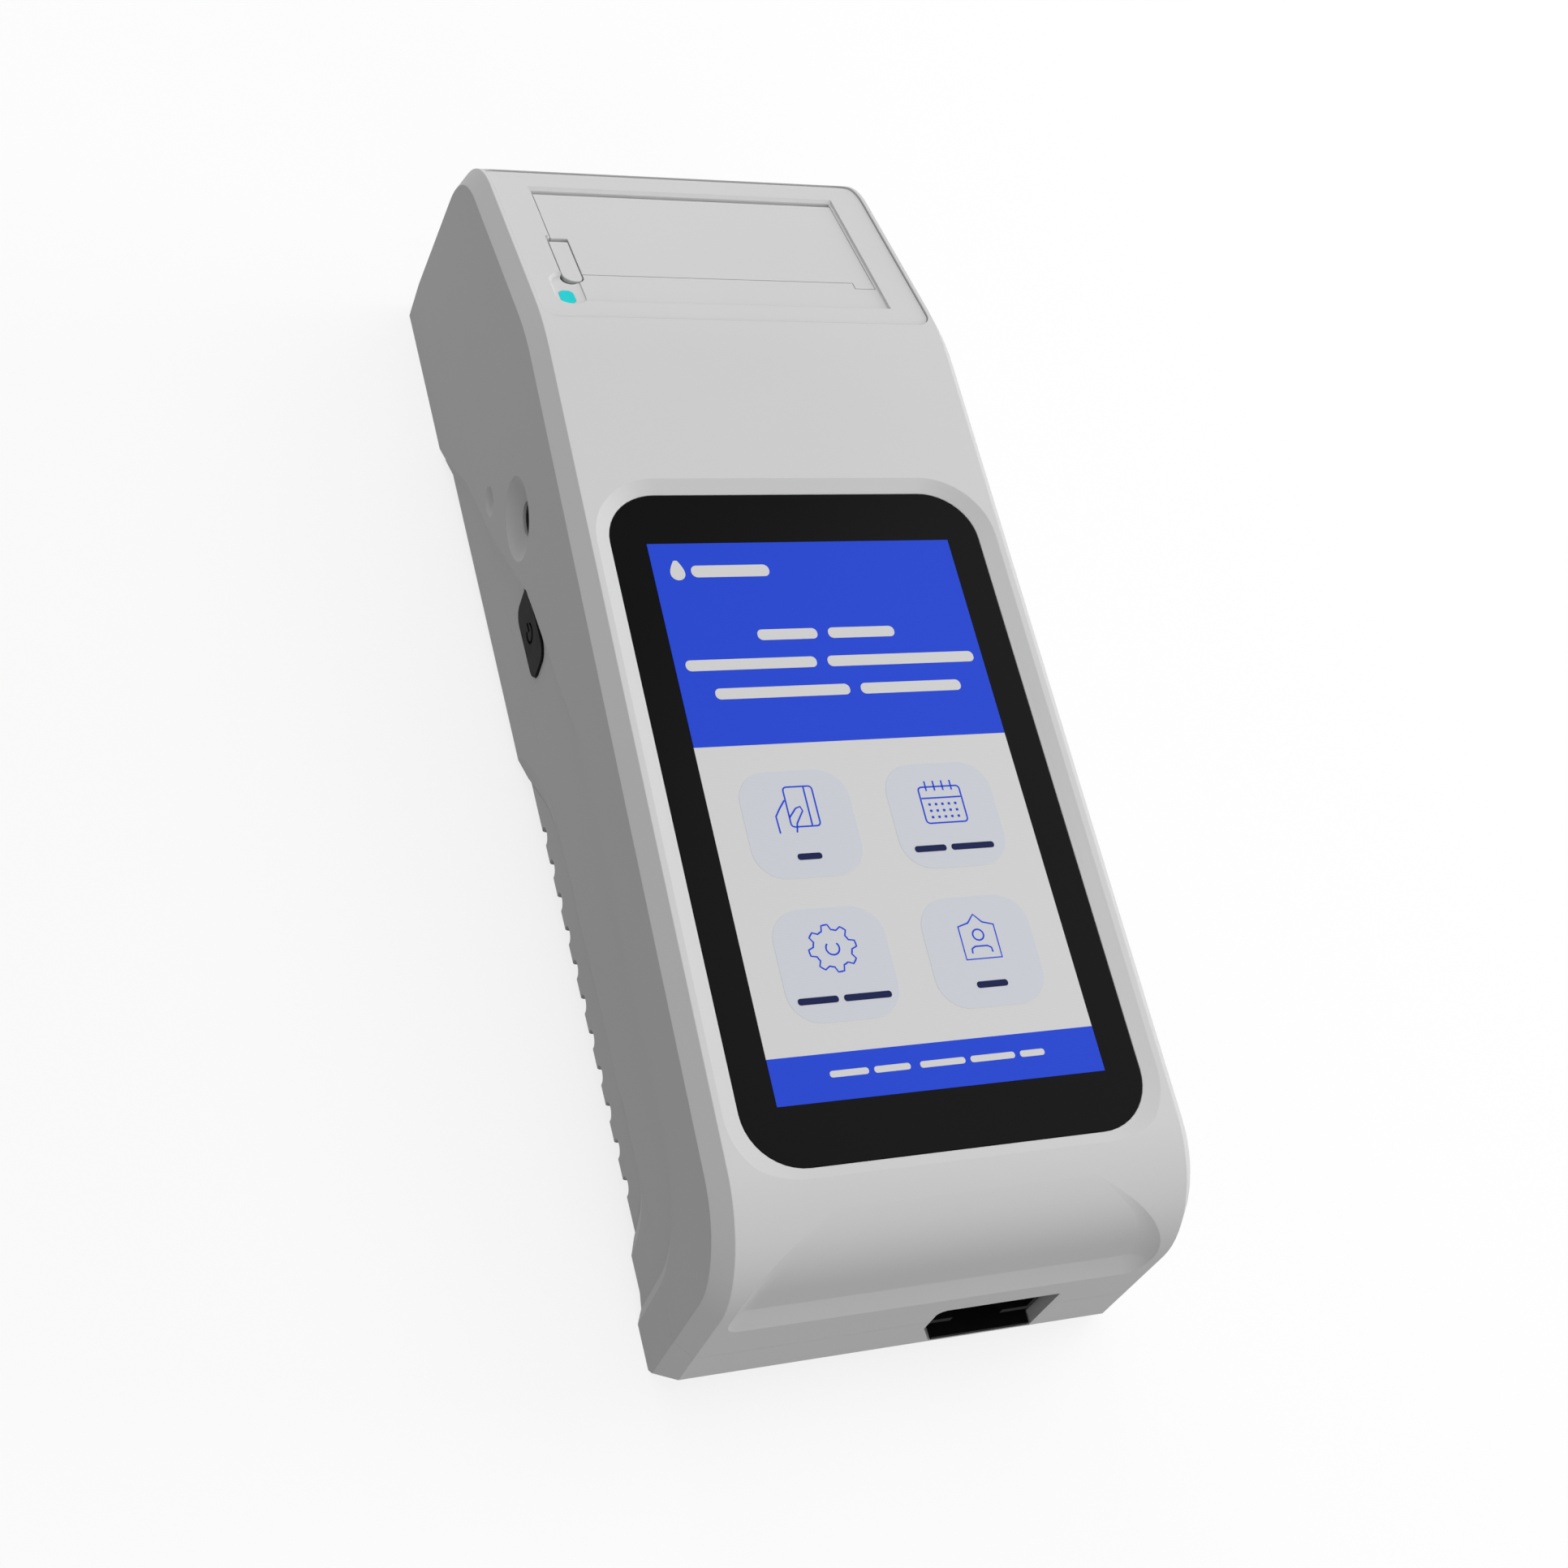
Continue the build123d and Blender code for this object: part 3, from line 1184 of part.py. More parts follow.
def frame_plate(x0, x1):
    """One side plate of the printer frame."""
    top = door_under - PLATE_DROP
    low = top - PLATE_STEP
    roll_low = -ROLL_DEPTH - ROLL_RADIUS - TROUGH_WALL
    roll_back = ROLL_AT + ROLL_RADIUS + TROUGH_WALL
    motor_front = pinion_at[0] - MOTOR_RADIUS - MOTOR_MARGIN
    motor_low = pinion_at[1] - MOTOR_RADIUS - MOTOR_MARGIN
    points = [
        (HEAD_FACE_AT - 2 * HEAD_BAR_THICKNESS, top),
        (RAIL_START, top),
        (BARREL_AT - 2 * BARREL_RADIUS, low),
        (RAIL_END, low),
        (roll_back, -ROLL_DEPTH + ROLL_RADIUS / 2),
        (roll_back, -ROLL_DEPTH - ROLL_RADIUS / 2),
        (ROLL_AT + ROLL_RADIUS / 2, roll_low),
        (ROLL_AT - ROLL_RADIUS / 2, roll_low),
        (pinion_at[0] + MOTOR_RADIUS, motor_low),
        (motor_front, motor_low),
        (motor_front, HEAD_BAR_BOTTOM),
    ]
    plate = slope_prism(points, x0, x1)
    notch = SHAFT_RADIUS + SHAFT_NOTCH_GAP
    plate -= slope_rod(notch, x0, x1, platen_at)
    return plate - slope_block(x0, x1, PLATEN_AT - notch, PLATEN_AT + notch, -PLATEN_DEPTH, 0)


def printer_frame():
    """Paper trough, side plates, head bar and flanges in one piece."""
    roll_at = (ROLL_AT, -ROLL_DEPTH)
    inside = ROLL_RADIUS + TROUGH_GAP
    trough = slope_rod(inside + TROUGH_WALL, -plate_x, plate_x, roll_at)
    trough -= slope_rod(inside, -plate_x, plate_x, roll_at)
    trough -= slope_block(-plate_x, plate_x, 0, ROLL_AT * 2, -ROLL_DEPTH + ROLL_RADIUS / 3, 0)
    frame = trough + frame_plate(-plate_x - PLATE_THICKNESS, -plate_x)
    frame += frame_plate(plate_x, plate_x + PLATE_THICKNESS)
    bar_t = HEAD_FACE_AT - HEAD_BAR_THICKNESS
    frame += slope_block(-plate_x, plate_x, bar_t - PLATE_THICKNESS, bar_t, HEAD_BAR_BOTTOM, HEAD_BAR_TOP)
    for side in (-1, 1):
        near = side * (plate_x + PLATE_THICKNESS / 2)
        far = side * (door_x + SLIDE_GAP + RAIL_THICKNESS)
        under = -RAIL_DEPTH - PLATE_THICKNESS
        frame += slope_block(min(near, far), max(near, far), RAIL_START, RAIL_END, under, -RAIL_DEPTH)
    for x, t in printer_screw_spots():
        frame -= slope * rod_z(SMALL_SCREW_RADIUS + SEAM_GAP, x, t, -RAIL_DEPTH * 2, 0)
    frame += slope_rod(IDLER_AXLE_RADIUS, plate_x, gear_x + GEAR_WIDTH, idler_at)
    return frame - slope_rod(MOTOR_SHAFT_RADIUS * 2, plate_x, plate_x + PLATE_THICKNESS, pinion_at)


def print_head():
    """The heating bar in front of the platen."""
    back = HEAD_FACE_AT - HEAD_BAR_THICKNESS
    half = platen_length / 2
    bar = slope_block(-half, half, back, HEAD_FACE_AT, HEAD_BAR_BOTTOM, HEAD_BAR_TOP)
    low = -PLATEN_DEPTH - HEAD_STEP_DROP
    return bar - slope_block(-half, half, HEAD_FACE_AT - HEAD_STEP, HEAD_FACE_AT, HEAD_BAR_BOTTOM, low)


def paper_roll():
    """The paper roll without its core."""
    roll = slope_rod(ROLL_RADIUS, -roll_width / 2, roll_width / 2, (ROLL_AT, -ROLL_DEPTH))
    return roll - slope_rod(CORE_RADIUS + RUNNING_GAP, -half_width, half_width, (ROLL_AT, -ROLL_DEPTH))


def paper_core():
    """The tube that the paper is wound on."""
    core = slope_rod(CORE_RADIUS, -roll_width / 2, roll_width / 2, (ROLL_AT, -ROLL_DEPTH))
    return core - slope_rod(CORE_BORE, -half_width, half_width, (ROLL_AT, -ROLL_DEPTH))


def slot_liner():
    """The black guide behind the cassette slot, with its sloping mouth and the motor's shelf."""
    y0 = foot_y + WALL + 2 * SLIDE_GAP
    y1 = y0 + LINER_LENGTH
    top = SLOT_TOP + LINER_WALL
    low = FOOT_CHAMFER_HEIGHT + SEAM_GAP
    lip = low + LINER_LIP
    outside = [
        (y0, low),
        (y0 + LINER_MOUTH, low),
        (y0 + LINER_MOUTH, bay_top),
        (y1, bay_top),
        (y1, top),
        (y0, top),
    ]
    inside = [
        (y0 - WALL, lip),
        (y0 + WALL, lip),
        (y0 + LINER_MOUTH - WALL, tray_low - SLIDE_GAP),
        (y1 + WALL, tray_low - SLIDE_GAP),
        (y1 + WALL, SLOT_TOP),
        (y0 - WALL, SLOT_TOP),
    ]
    liner = side_prism(outside, slot_left - LINER_WALL, slot_right + LINER_WALL)
    reach = TRAY_MOTOR_RADIUS + LINER_WALL
    shelf_end = pinion_x + reach
    liner += block(slot_right, shelf_end, pinion_y - reach, pinion_y + reach, SLOT_TOP, top)
    liner -= side_prism(inside, slot_left, slot_right)
    lip_left = slot_left + SLOT_CUT_WIDTH + SLIDE_GAP
    liner += block(lip_left, slot_right - SLIDE_GAP, foot_y + SEAM_GAP, y0 + WALL, low, lip)
    open_y = TRAY_MOTOR_RADIUS
    open_top = tray_low + TRAY_PINION_WIDTH + SLIDE_GAP
    open_low = tray_low - SLIDE_GAP
    liner -= block(slot_left, shelf_end, pinion_y - open_y, pinion_y + open_y, open_low, open_top)
    liner -= rod_z(MOTOR_SHAFT_RADIUS * 2, pinion_x, pinion_y, SLOT_TOP - WALL, top + WALL)
    return liner - rod_z(LENS_RADIUS + SLIDE_GAP, slot_middle, optics_y, SLOT_TOP - WALL, top + WALL)


def cassette_tray():
    """The sliding carrier for a test cassette, with a rack along its right wall."""
    y0 = foot_y + TRAY_SETBACK
    y1 = y0 + TRAY_LENGTH
    left = slot_left + SLIDE_GAP
    pocket_left = left + TRAY_WALL
    pocket_right = pocket_left + TRAY_POCKET_WIDTH
    tray = block(left, rack_root, y0, y1, tray_low, tray_low + TRAY_HEIGHT)
    floor = tray_low + TRAY_FLOOR
    tray -= block(pocket_left, pocket_right, y0 - WALL, y0 + TRAY_POCKET_LENGTH, floor, SLOT_TOP)
    middle = (pocket_left + pocket_right) / 2
    tray -= rod_z(TRAY_POCKET_WIDTH / 4, middle, y0, tray_low - WALL, SLOT_TOP)
    tray += rack(y0 + TRAY_WALL, y1 - TRAY_WALL)
    return tray & slot_prism(SLIDE_GAP, y0 - WALL, y1 + WALL)


def rack(y0, y1):
    """The row of teeth that the tray's pinion drives."""
    points = [(rack_root - rack_module, y0)]
    start = pinion_y - RACK_PITCH * math.floor((pinion_y - y0) / RACK_PITCH)
    count = math.floor((y1 - start) / RACK_PITCH)
    for index in range(count):
        gap = start + index * RACK_PITCH
        middle = gap + RACK_PITCH / 2
        points.append((rack_root, middle - RACK_ROOT_SHARE * RACK_PITCH))
        points.append((rack_tip, middle - RACK_TIP_SHARE * RACK_PITCH))
        points.append((rack_tip, middle + RACK_TIP_SHARE * RACK_PITCH))
        points.append((rack_root, middle + RACK_ROOT_SHARE * RACK_PITCH))
    points.append((rack_root - rack_module, start + count * RACK_PITCH))
    row = make_face(Polyline(*points, close=True))
    return extrude(Pos(0, 0, tray_low) * row, amount=TRAY_PINION_WIDTH)


def tray_pinion():
    """The pinion that drives the tray, with its upright shaft."""
    pinion = Pos(pinion_x, pinion_y, tray_low + SEAM_GAP)
    pinion *= gear(rack_module, TRAY_PINION_TEETH, 180, TRAY_PINION_WIDTH - SEAM_GAP)
    top = SLOT_TOP + LINER_WALL - SEAM_GAP
    return pinion + rod_z(MOTOR_SHAFT_RADIUS, pinion_x, pinion_y, tray_low + SEAM_GAP, top)


def tray_motor():
    """The motor on the guide's shelf that drives the tray."""
    low = SLOT_TOP + LINER_WALL
    high = low + TRAY_MOTOR_LENGTH
    can = rod_z(TRAY_MOTOR_RADIUS, pinion_x, pinion_y, low, high)
    return can + rod_z(TRAY_MOTOR_RADIUS / 2, pinion_x, pinion_y, high, high + MOTOR_TAIL)


def optical_head():
    """The fluorescence reader over the guide, with its lens seat."""
    low = SLOT_TOP + LINER_WALL
    half = TRAY_POCKET_WIDTH / 2
    y0 = optics_y - OPTICS_LENGTH / 2
    y1 = optics_y + OPTICS_LENGTH / 2
    head = block(slot_middle - half, slot_middle + half, y0, y1, low, low + OPTICS_HEIGHT)
    head = chamfer(head.edges().filter_by(Axis.Z), OPTICS_CORNER)
    return head - rod_z(LENS_RADIUS + RUNNING_GAP, slot_middle, optics_y, low, low + LENS_RADIUS)


def optical_lens():
    """The reader's lens over the guide's window."""
    low = SLOT_TOP + LINER_WALL - LENS_DROP
    return rod_z(LENS_RADIUS, slot_middle, optics_y, low, low + LENS_RADIUS)


def optics_board():
    """The small circuit board on top of the reader."""
    low = SLOT_TOP + LINER_WALL + OPTICS_HEIGHT
    half = TRAY_POCKET_WIDTH / 2
    y0 = optics_y - OPTICS_LENGTH / 2
    y1 = optics_y + OPTICS_LENGTH / 2
    return block(slot_middle - half, slot_middle + half, y0, y1, low, low + SIDE_BOARD_THICKNESS)


def power_button():
    """The rubber power key: cap, flange and stem."""
    cap = key_prism(0, -grip_x - KEY_PROUD, -inner_x + KEY_GAP)
    flange_start = -inner_x + KEY_GAP
    flange = key_prism(KEY_FLANGE, flange_start, flange_start + KEY_FLANGE_THICKNESS)
    stem_start = flange_start + KEY_FLANGE_THICKNESS
    stem_end = stem_start + KEY_STEM_LENGTH
    return cap + flange + rod_x(KEY_STEM_RADIUS, stem_start - KEY_GAP, stem_end, key_y, KEY_HEIGHT)


def power_switch():
    """The small switch behind the power key."""
    half = SWITCH_SIZE / 2
    front = switch_x + SWITCH_PLUNGER
    back = switch_x + SWITCH_THICKNESS
    case = block(front, back, key_y - half, key_y + half, KEY_HEIGHT - half, KEY_HEIGHT + half)
    return case + rod_x(KEY_STEM_RADIUS, switch_x, front, key_y, KEY_HEIGHT)


def side_board():
    """The board behind the power switch, on two posts."""
    x = switch_x + SWITCH_THICKNESS
    back = x + SIDE_BOARD_THICKNESS
    half = KEY_WIDTH / 2
    return block(x, back, key_y - side_reach, key_y + side_reach, KEY_HEIGHT - half, KEY_HEIGHT + half)


def charge_socket():
    """The charging socket's body, with a nose that lines its hole."""
    x = -inner_x + SOCKET_BOSS_DEPTH
    y = socket_y
    half = SOCKET_BODY_WIDTH / 2
    body = block(x, x + SOCKET_BODY_LENGTH, y - half, y + half, SOCKET_HEIGHT - half, SOCKET_HEIGHT + half)
    nose_end = SOCKET_SCOOP_DEPTH + SEAM_GAP - half_width
    body += rod_x(SOCKET_HOLE_RADIUS - RUNNING_GAP, nose_end, x, y, SOCKET_HEIGHT)
    return body - rod_x(SOCKET_BORE_RADIUS, -half_width, x + SOCKET_BORE_DEPTH, y, SOCKET_HEIGHT)


def charge_pin():
    """The pin in the charging socket."""
    x = -inner_x + SOCKET_BOSS_DEPTH
    return rod_x(SOCKET_PIN_RADIUS, x, x + SOCKET_BORE_DEPTH, socket_y, SOCKET_HEIGHT)


idler_at = meet(platen_at, pitch_radius(PLATEN_TEETH + IDLER_TEETH), IDLER_ANGLE)
pinion_at = meet(idler_at, pitch_radius(IDLER_TEETH + MOTOR_TEETH), MOTOR_ANGLE)
idler_phase = mesh_phase(IDLER_ANGLE, PLATEN_TEETH, IDLER_ANGLE, IDLER_TEETH)
pinion_phase = mesh_phase(idler_phase, IDLER_TEETH, MOTOR_ANGLE, MOTOR_TEETH)


def save(name, shape):
    """Write one node."""
    export_step(shape, f"parts/{name}.step")


PIECES = {
    "upper_shell": upper_shell,
    "lower_shell": lower_shell,
    "battery_cover": battery_cover,
    "shell_screws": shell_screws,
    "cover_screw": cover_screw,
    "battery_cells": battery_cells,
    "battery_contacts": battery_contacts,
    "touch_glass": touch_glass,
    "display_gasket": display_gasket,
    "display_module": display_module,
    "display_carrier": display_carrier,
    "main_board": main_board,
    "board_shield": board_shield,
    "buzzer": buzzer,
    "board_screws": board_screws,
    "printer_bezel": printer_bezel,
    "printer_screws": printer_screws,
    "printer_door": printer_door,
    "door_hinge_pin": door_hinge_pin,
    "release_lever": release_lever,
    "lever_pin": lever_pin,
    "status_light": status_light,
    "tear_bar": tear_bar,
    "platen_roller": platen_roller,
    "platen_shaft": platen_shaft,
    "platen_gear": platen_gear,
    "idler_gear": idler_gear,
    "motor_pinion": motor_pinion,
    "feed_motor": feed_motor,
    "printer_frame": printer_frame,
    "print_head": print_head,
    "paper_roll": paper_roll,
    "paper_core": paper_core,
    "slot_liner": slot_liner,
    "cassette_tray": cassette_tray,
    "tray_pinion": tray_pinion,
    "tray_motor": tray_motor,
    "optical_head": optical_head,
    "optical_lens": optical_lens,
    "optics_board": optics_board,
    "power_button": power_button,
    "power_switch": power_switch,
    "side_board": side_board,
    "charge_socket": charge_socket,
    "charge_pin": charge_pin,
}

os.makedirs("parts", exist_ok=True)
for name, make in PIECES.items():
    save(name, make())
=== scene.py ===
import math
import bpy
from mathutils import Matrix, Quaternion, Vector


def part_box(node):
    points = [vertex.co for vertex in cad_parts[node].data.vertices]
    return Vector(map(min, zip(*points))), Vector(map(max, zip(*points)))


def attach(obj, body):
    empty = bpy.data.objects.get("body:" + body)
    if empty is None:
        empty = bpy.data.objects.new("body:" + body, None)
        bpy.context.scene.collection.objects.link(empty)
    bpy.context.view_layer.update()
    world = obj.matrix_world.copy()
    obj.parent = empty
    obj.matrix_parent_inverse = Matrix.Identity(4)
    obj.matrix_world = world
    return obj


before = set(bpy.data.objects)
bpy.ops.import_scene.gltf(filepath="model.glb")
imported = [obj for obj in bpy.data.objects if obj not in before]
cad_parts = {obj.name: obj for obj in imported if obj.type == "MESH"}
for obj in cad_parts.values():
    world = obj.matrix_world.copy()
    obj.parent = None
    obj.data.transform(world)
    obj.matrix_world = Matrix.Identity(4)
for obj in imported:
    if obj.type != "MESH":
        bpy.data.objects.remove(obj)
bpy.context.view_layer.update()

MM = 0.001

# Screen: the cover glass's tilt and thickness, and the lit picture on it
SCREEN_TILT = 5.22
GLASS_THICKNESS = 1.2
PICTURE_WIDTH = 62.1
PICTURE_HALF_LENGTH = 55.67
HEADER_LOW = 12.37
FOOTER_HIGH = -47.23
PICTURE_TOP = 0.06
PANEL_TOP = 0.10
MARK_TOP = 0.16
SUNK = -0.05
PANEL_CORNER = 0.1
TILE_SIZE = 21.3
TILE_RADIUS = 6.0
TILE_MIDDLES = {
    "test": (-14.25, -3.9),
    "records": (14.25, -3.9),
    "settings": (-14.25, -31.15),
    "about": (14.05, -31.15),
}
LINE_WIDTH = 0.5
RIM = 0.03
DOT_HALF = 0.25
DOT_CORNER = 0.15
BAR_ROUNDING = 0.45
RING_POINTS = 24
GEAR_TEETH = 8
POINTS_PER_TOOTH = 6

# Drop beside the title: a round drawn up to a point
DROP_MIDDLE = (-26.3, 49.0)
DROP_RADIUS = 1.45
DROP_RISE = 1.4
DROP_REACH = 2.2
DROP_TIP_POINTS = 3

# Words are stood in for by plain bars: (left, right, middle height)
HEADER_BARS = [
    (-13.6, -1.6, 35.3),
    (0.6, 14.2, 35.3),
    (-29.0, -3.2, 29.2),
    (-1.0, 29.2, 29.2),
    (-24.6, 2.0, 23.1),
    (4.2, 24.8, 23.1),
]
HEADER_BAR_HEIGHT = 2.3
TITLE_BAR = (-23.6, -8.0, 49.4)
TITLE_BAR_HEIGHT = 2.6
FOOTER_BARS = [
    (-20.4, -13.2, -51.0),
    (-12.2, -5.4, -51.0),
    (-3.6, 5.0, -51.0),
    (6.0, 14.6, -51.0),
    (15.6, 20.4, -51.0),
]
FOOTER_BAR_HEIGHT = 1.2
LABEL_BARS = [
    (-16.5, -11.8, -10.4),
    (6.3, 12.6, -10.5),
    (13.6, 22.2, -10.5),
    (-23.0, -15.4, -37.6),
    (-14.4, -5.4, -37.6),
    (11.1, 17.2, -37.5),
]
LABEL_BAR_HEIGHT = 1.25

# Standby sign on the power key
SYMBOL_RADIUS = 1.9
SYMBOL_LINE = 0.6
SYMBOL_TOP = 0.12
SYMBOL_STROKE = (0.4, 2.4)
OPEN_POINTS = 5

# Battery cell: the steel that shows at each end of its sleeve
BARE_END = 0.6

# Studio: each lamp's name, place and power, all aimed at the object's middle
LAMP_SIZE = 700.0
LAMP_AIM = (0.0, 0.0, 40.0)
LAMPS = [
    ("key_lamp", (650, 250, 1050), 2.1),
    ("right_lamp", (1150, 0, 350), 5.8),
    ("head_lamp", (0, 1150, 500), 3.15),
    ("top_lamp", (0, 0, 1250), 1.8),
    ("foot_lamp", (0, -1150, 500), 2.8),
]
ALL_ROUND_LIGHT = 0.435
FLOOR_SIZE = 8.0
FLOOR_LIFT = 0.79

# Camera, as the photograph was taken
AIM = (-15.655, -43.501, 60.0)
CAMERA_DISTANCE = 413.587
CAMERA_AZIMUTH = 37.165
CAMERA_ELEVATION = 51.773
CAMERA_ROLL = -27.55
LENS = 53.09
SENSOR_WIDTH = 36.0
CLIP_NEAR = 0.01
CLIP_FAR = 50.0


def linear(hex_colour):
    """An sRGB hex colour as the linear colour a shader takes."""
    parts = [int(hex_colour[at:at + 2], 16) / 255 for at in (1, 3, 5)]
    return [*(part / 12.92 if part <= 0.04045 else ((part + 0.055) / 1.055) ** 2.4 for part in parts), 1.0]


def per_metre(size):
    """Pattern scale for a feature of that many millimetres."""
    return 1 / (size * MM)


def add(tree, kind, settings=None, links=None):
    """Adds a node. Settings are socket values or the node's own properties, and links feed its sockets."""
    node = tree.nodes.new("ShaderNode" + kind)
    for name, value in (settings or {}).items():
        if isinstance(name, int) or name in node.inputs:
            node.inputs[name].default_value = value
        else:
            setattr(node, name, value)
    for name, socket in (links or {}).items():
        tree.links.new(socket, node.inputs[name])
    return node


def start_finish(name, sockets):
    """A new material with its shader, and the object's own coordinates to lay patterns by."""
    made = bpy.data.materials.new(name)
    made.use_nodes = True
    tree = made.node_tree
    tree.nodes.clear()
    shader = add(tree, "BsdfPrincipled", sockets)
    add(tree, "OutputMaterial", links={"Surface": shader.outputs[0]})
    place = add(tree, "TexCoord").outputs["Object"]
    return made, tree, shader, place


def moulded_abs():
    """ABS moulded in a spark-eroded tool: an even pale grey, matt, with a very fine grain."""
    sockets = {"IOR": 1.54, "Specular IOR Level": 0.3}
    made, tree, shader, place = start_finish("moulded ABS", sockets)
    drift = add(tree, "TexNoise", {"Scale": per_metre(45), "Detail": 2.0}, {"Vector": place})
    tones = {"data_type": "RGBA", 6: linear("#d2d2d2"), 7: linear("#d6d6d6")}
    tone = add(tree, "Mix", tones, {0: drift.outputs[0]})
    tree.links.new(tone.outputs[2], shader.inputs["Base Color"])
    # Grain of about 0.35 mm, drawn a little coarser than the tool leaves it so that it shows.
    grain = add(tree, "TexNoise", {"Scale": per_metre(0.35), "Detail": 3.0}, {"Vector": place})
    sheen = add(tree, "MapRange", {"To Min": 0.5, "To Max": 0.62}, {"Value": grain.outputs[0]})
    tree.links.new(sheen.outputs[0], shader.inputs["Roughness"])
    edge = add(tree, "Bevel", {"samples": 4, "Radius": 0.25 * MM})
    over_edge = {"Height": grain.outputs[0], "Normal": edge.outputs[0]}
    relief = add(tree, "Bump", {"Strength": 0.12, "Distance": 0.03 * MM}, over_edge)
    tree.links.new(relief.outputs[0], shader.inputs["Normal"])
    return made


def black_nylon(name, dark, light, gloss):
    """Glass-filled nylon, moulded: near black, matt, faintly streaked along the flow."""
    made, tree, shader, place = start_finish(name, {"IOR": 1.53, "Specular IOR Level": gloss})
    flow = add(tree, "Mapping", {"Scale": (per_metre(3), per_metre(12), per_metre(3))}, {"Vector": place})
    streak = add(tree, "TexNoise", {"Scale": 1.0, "Detail": 3.0}, {"Vector": flow.outputs[0]})
    tones = {"data_type": "RGBA", 6: linear(dark), 7: linear(light)}
    tone = add(tree, "Mix", tones, {0: streak.outputs[0]})
    tree.links.new(tone.outputs[2], shader.inputs["Base Color"])
    sheen = add(tree, "MapRange", {"To Min": 0.45, "To Max": 0.6}, {"Value": streak.outputs[0]})
    tree.links.new(sheen.outputs[0], shader.inputs["Roughness"])
    grain = add(tree, "TexNoise", {"Scale": per_metre(0.4), "Detail": 2.0}, {"Vector": place})
    relief = add(tree, "Bump", {"Strength": 0.2, "Distance": 0.03 * MM}, {"Height": grain.outputs[0]})
    tree.links.new(relief.outputs[0], shader.inputs["Normal"])
    return made


def printed_glass():
    """Cover glass printed black behind: deep black, with an anti-glare etch that keeps reflections faint."""
    sockets = {"IOR": 1.5, "Specular IOR Level": 0.04}
    made, tree, shader, place = start_finish("black printed cover glass", sockets)
    haze = add(tree, "TexNoise", {"Scale": per_metre(30), "Detail": 3.0}, {"Vector": place})
    tones = {"data_type": "RGBA", 6: linear("#0c0c0c"), 7: linear("#0f0f0f")}
    tone = add(tree, "Mix", tones, {0: haze.outputs[0]})
    tree.links.new(tone.outputs[2], shader.inputs["Base Color"])
    sheen = add(tree, "MapRange", {"To Min": 0.16, "To Max": 0.26}, {"Value": haze.outputs[0]})
    tree.links.new(sheen.outputs[0], shader.inputs["Roughness"])
    return made


def lit_picture(name, colour, glow):
    """Part of the lit picture behind its glass: even colour with the faint rows of a liquid crystal panel."""
    sockets = {"Roughness": 0.3, "IOR": 1.5, "Specular IOR Level": 0.05}
    sockets |= {"Emission Color": linear(colour), "Emission Strength": glow}
    made, tree, shader, place = start_finish(name, sockets)
    # Rows 0.3 mm apart: the real ones, 0.09 mm, are too fine to show.
    bands = {"bands_direction": "Y", "Scale": per_metre(0.3) / math.pi, "Distortion": 0.0}
    rows = add(tree, "TexWave", bands, {"Vector": place})
    faint = add(tree, "MapRange", {"To Min": 0.975, "To Max": 1.0}, {"Value": rows.outputs["Fac"]})
    tones = {"data_type": "RGBA", 6: linear("#000000"), 7: linear(colour)}
    tone = add(tree, "Mix", tones, {0: faint.outputs[0]})
    tree.links.new(tone.outputs[2], shader.inputs["Base Color"])
    return made


def cell_foam():
    """Closed-cell foam tape: soft black, pitted by cut cells."""
    made, tree, shader, place = start_finish("closed-cell foam", {"Roughness": 0.95, "IOR": 1.45})
    cells = add(tree, "TexVoronoi", {"Scale": per_metre(0.5)}, {"Vector": place})
    relief = add(tree, "Bump", {"Strength": 0.6, "Distance": 0.1 * MM}, {"Height": cells.outputs["Distance"]})
    tree.links.new(relief.outputs[0], shader.inputs["Normal"])
    # Painted shade: each cut cell is darker towards its middle, where its pit is deepest.
    tones = {"data_type": "RGBA", 6: linear("#0c0c0c"), 7: linear("#202020")}
    shade = add(tree, "Mix", tones, {0: cells.outputs["Distance"]})
    tree.links.new(shade.outputs[2], shader.inputs["Base Color"])
    return made


def silicone_rubber(name, dark, light, gloss):
    """Moulded silicone rubber: dark and dull, with a soft bloom of dust on it."""
    sockets = {"IOR": 1.42, "Specular IOR Level": gloss, "Sheen Weight": 0.02}
    made, tree, shader, place = start_finish(name, sockets)
    bloom = add(tree, "TexNoise", {"Scale": per_metre(4), "Detail": 4.0}, {"Vector": place})
    tone = add(tree, "Mix", {"data_type": "RGBA", 6: linear(dark), 7: linear(light)}, {0: bloom.outputs[0]})
    tree.links.new(tone.outputs[2], shader.inputs["Base Color"])
    sheen = add(tree, "MapRange", {"To Min": 0.62, "To Max": 0.8}, {"Value": bloom.outputs[0]})
    tree.links.new(sheen.outputs[0], shader.inputs["Roughness"])
    grain = add(tree, "TexNoise", {"Scale": per_metre(0.3), "Detail": 2.0}, {"Vector": place})
    relief = add(tree, "Bump", {"Strength": 0.2, "Distance": 0.02 * MM}, {"Height": grain.outputs[0]})
    tree.links.new(relief.outputs[0], shader.inputs["Normal"])
    return made


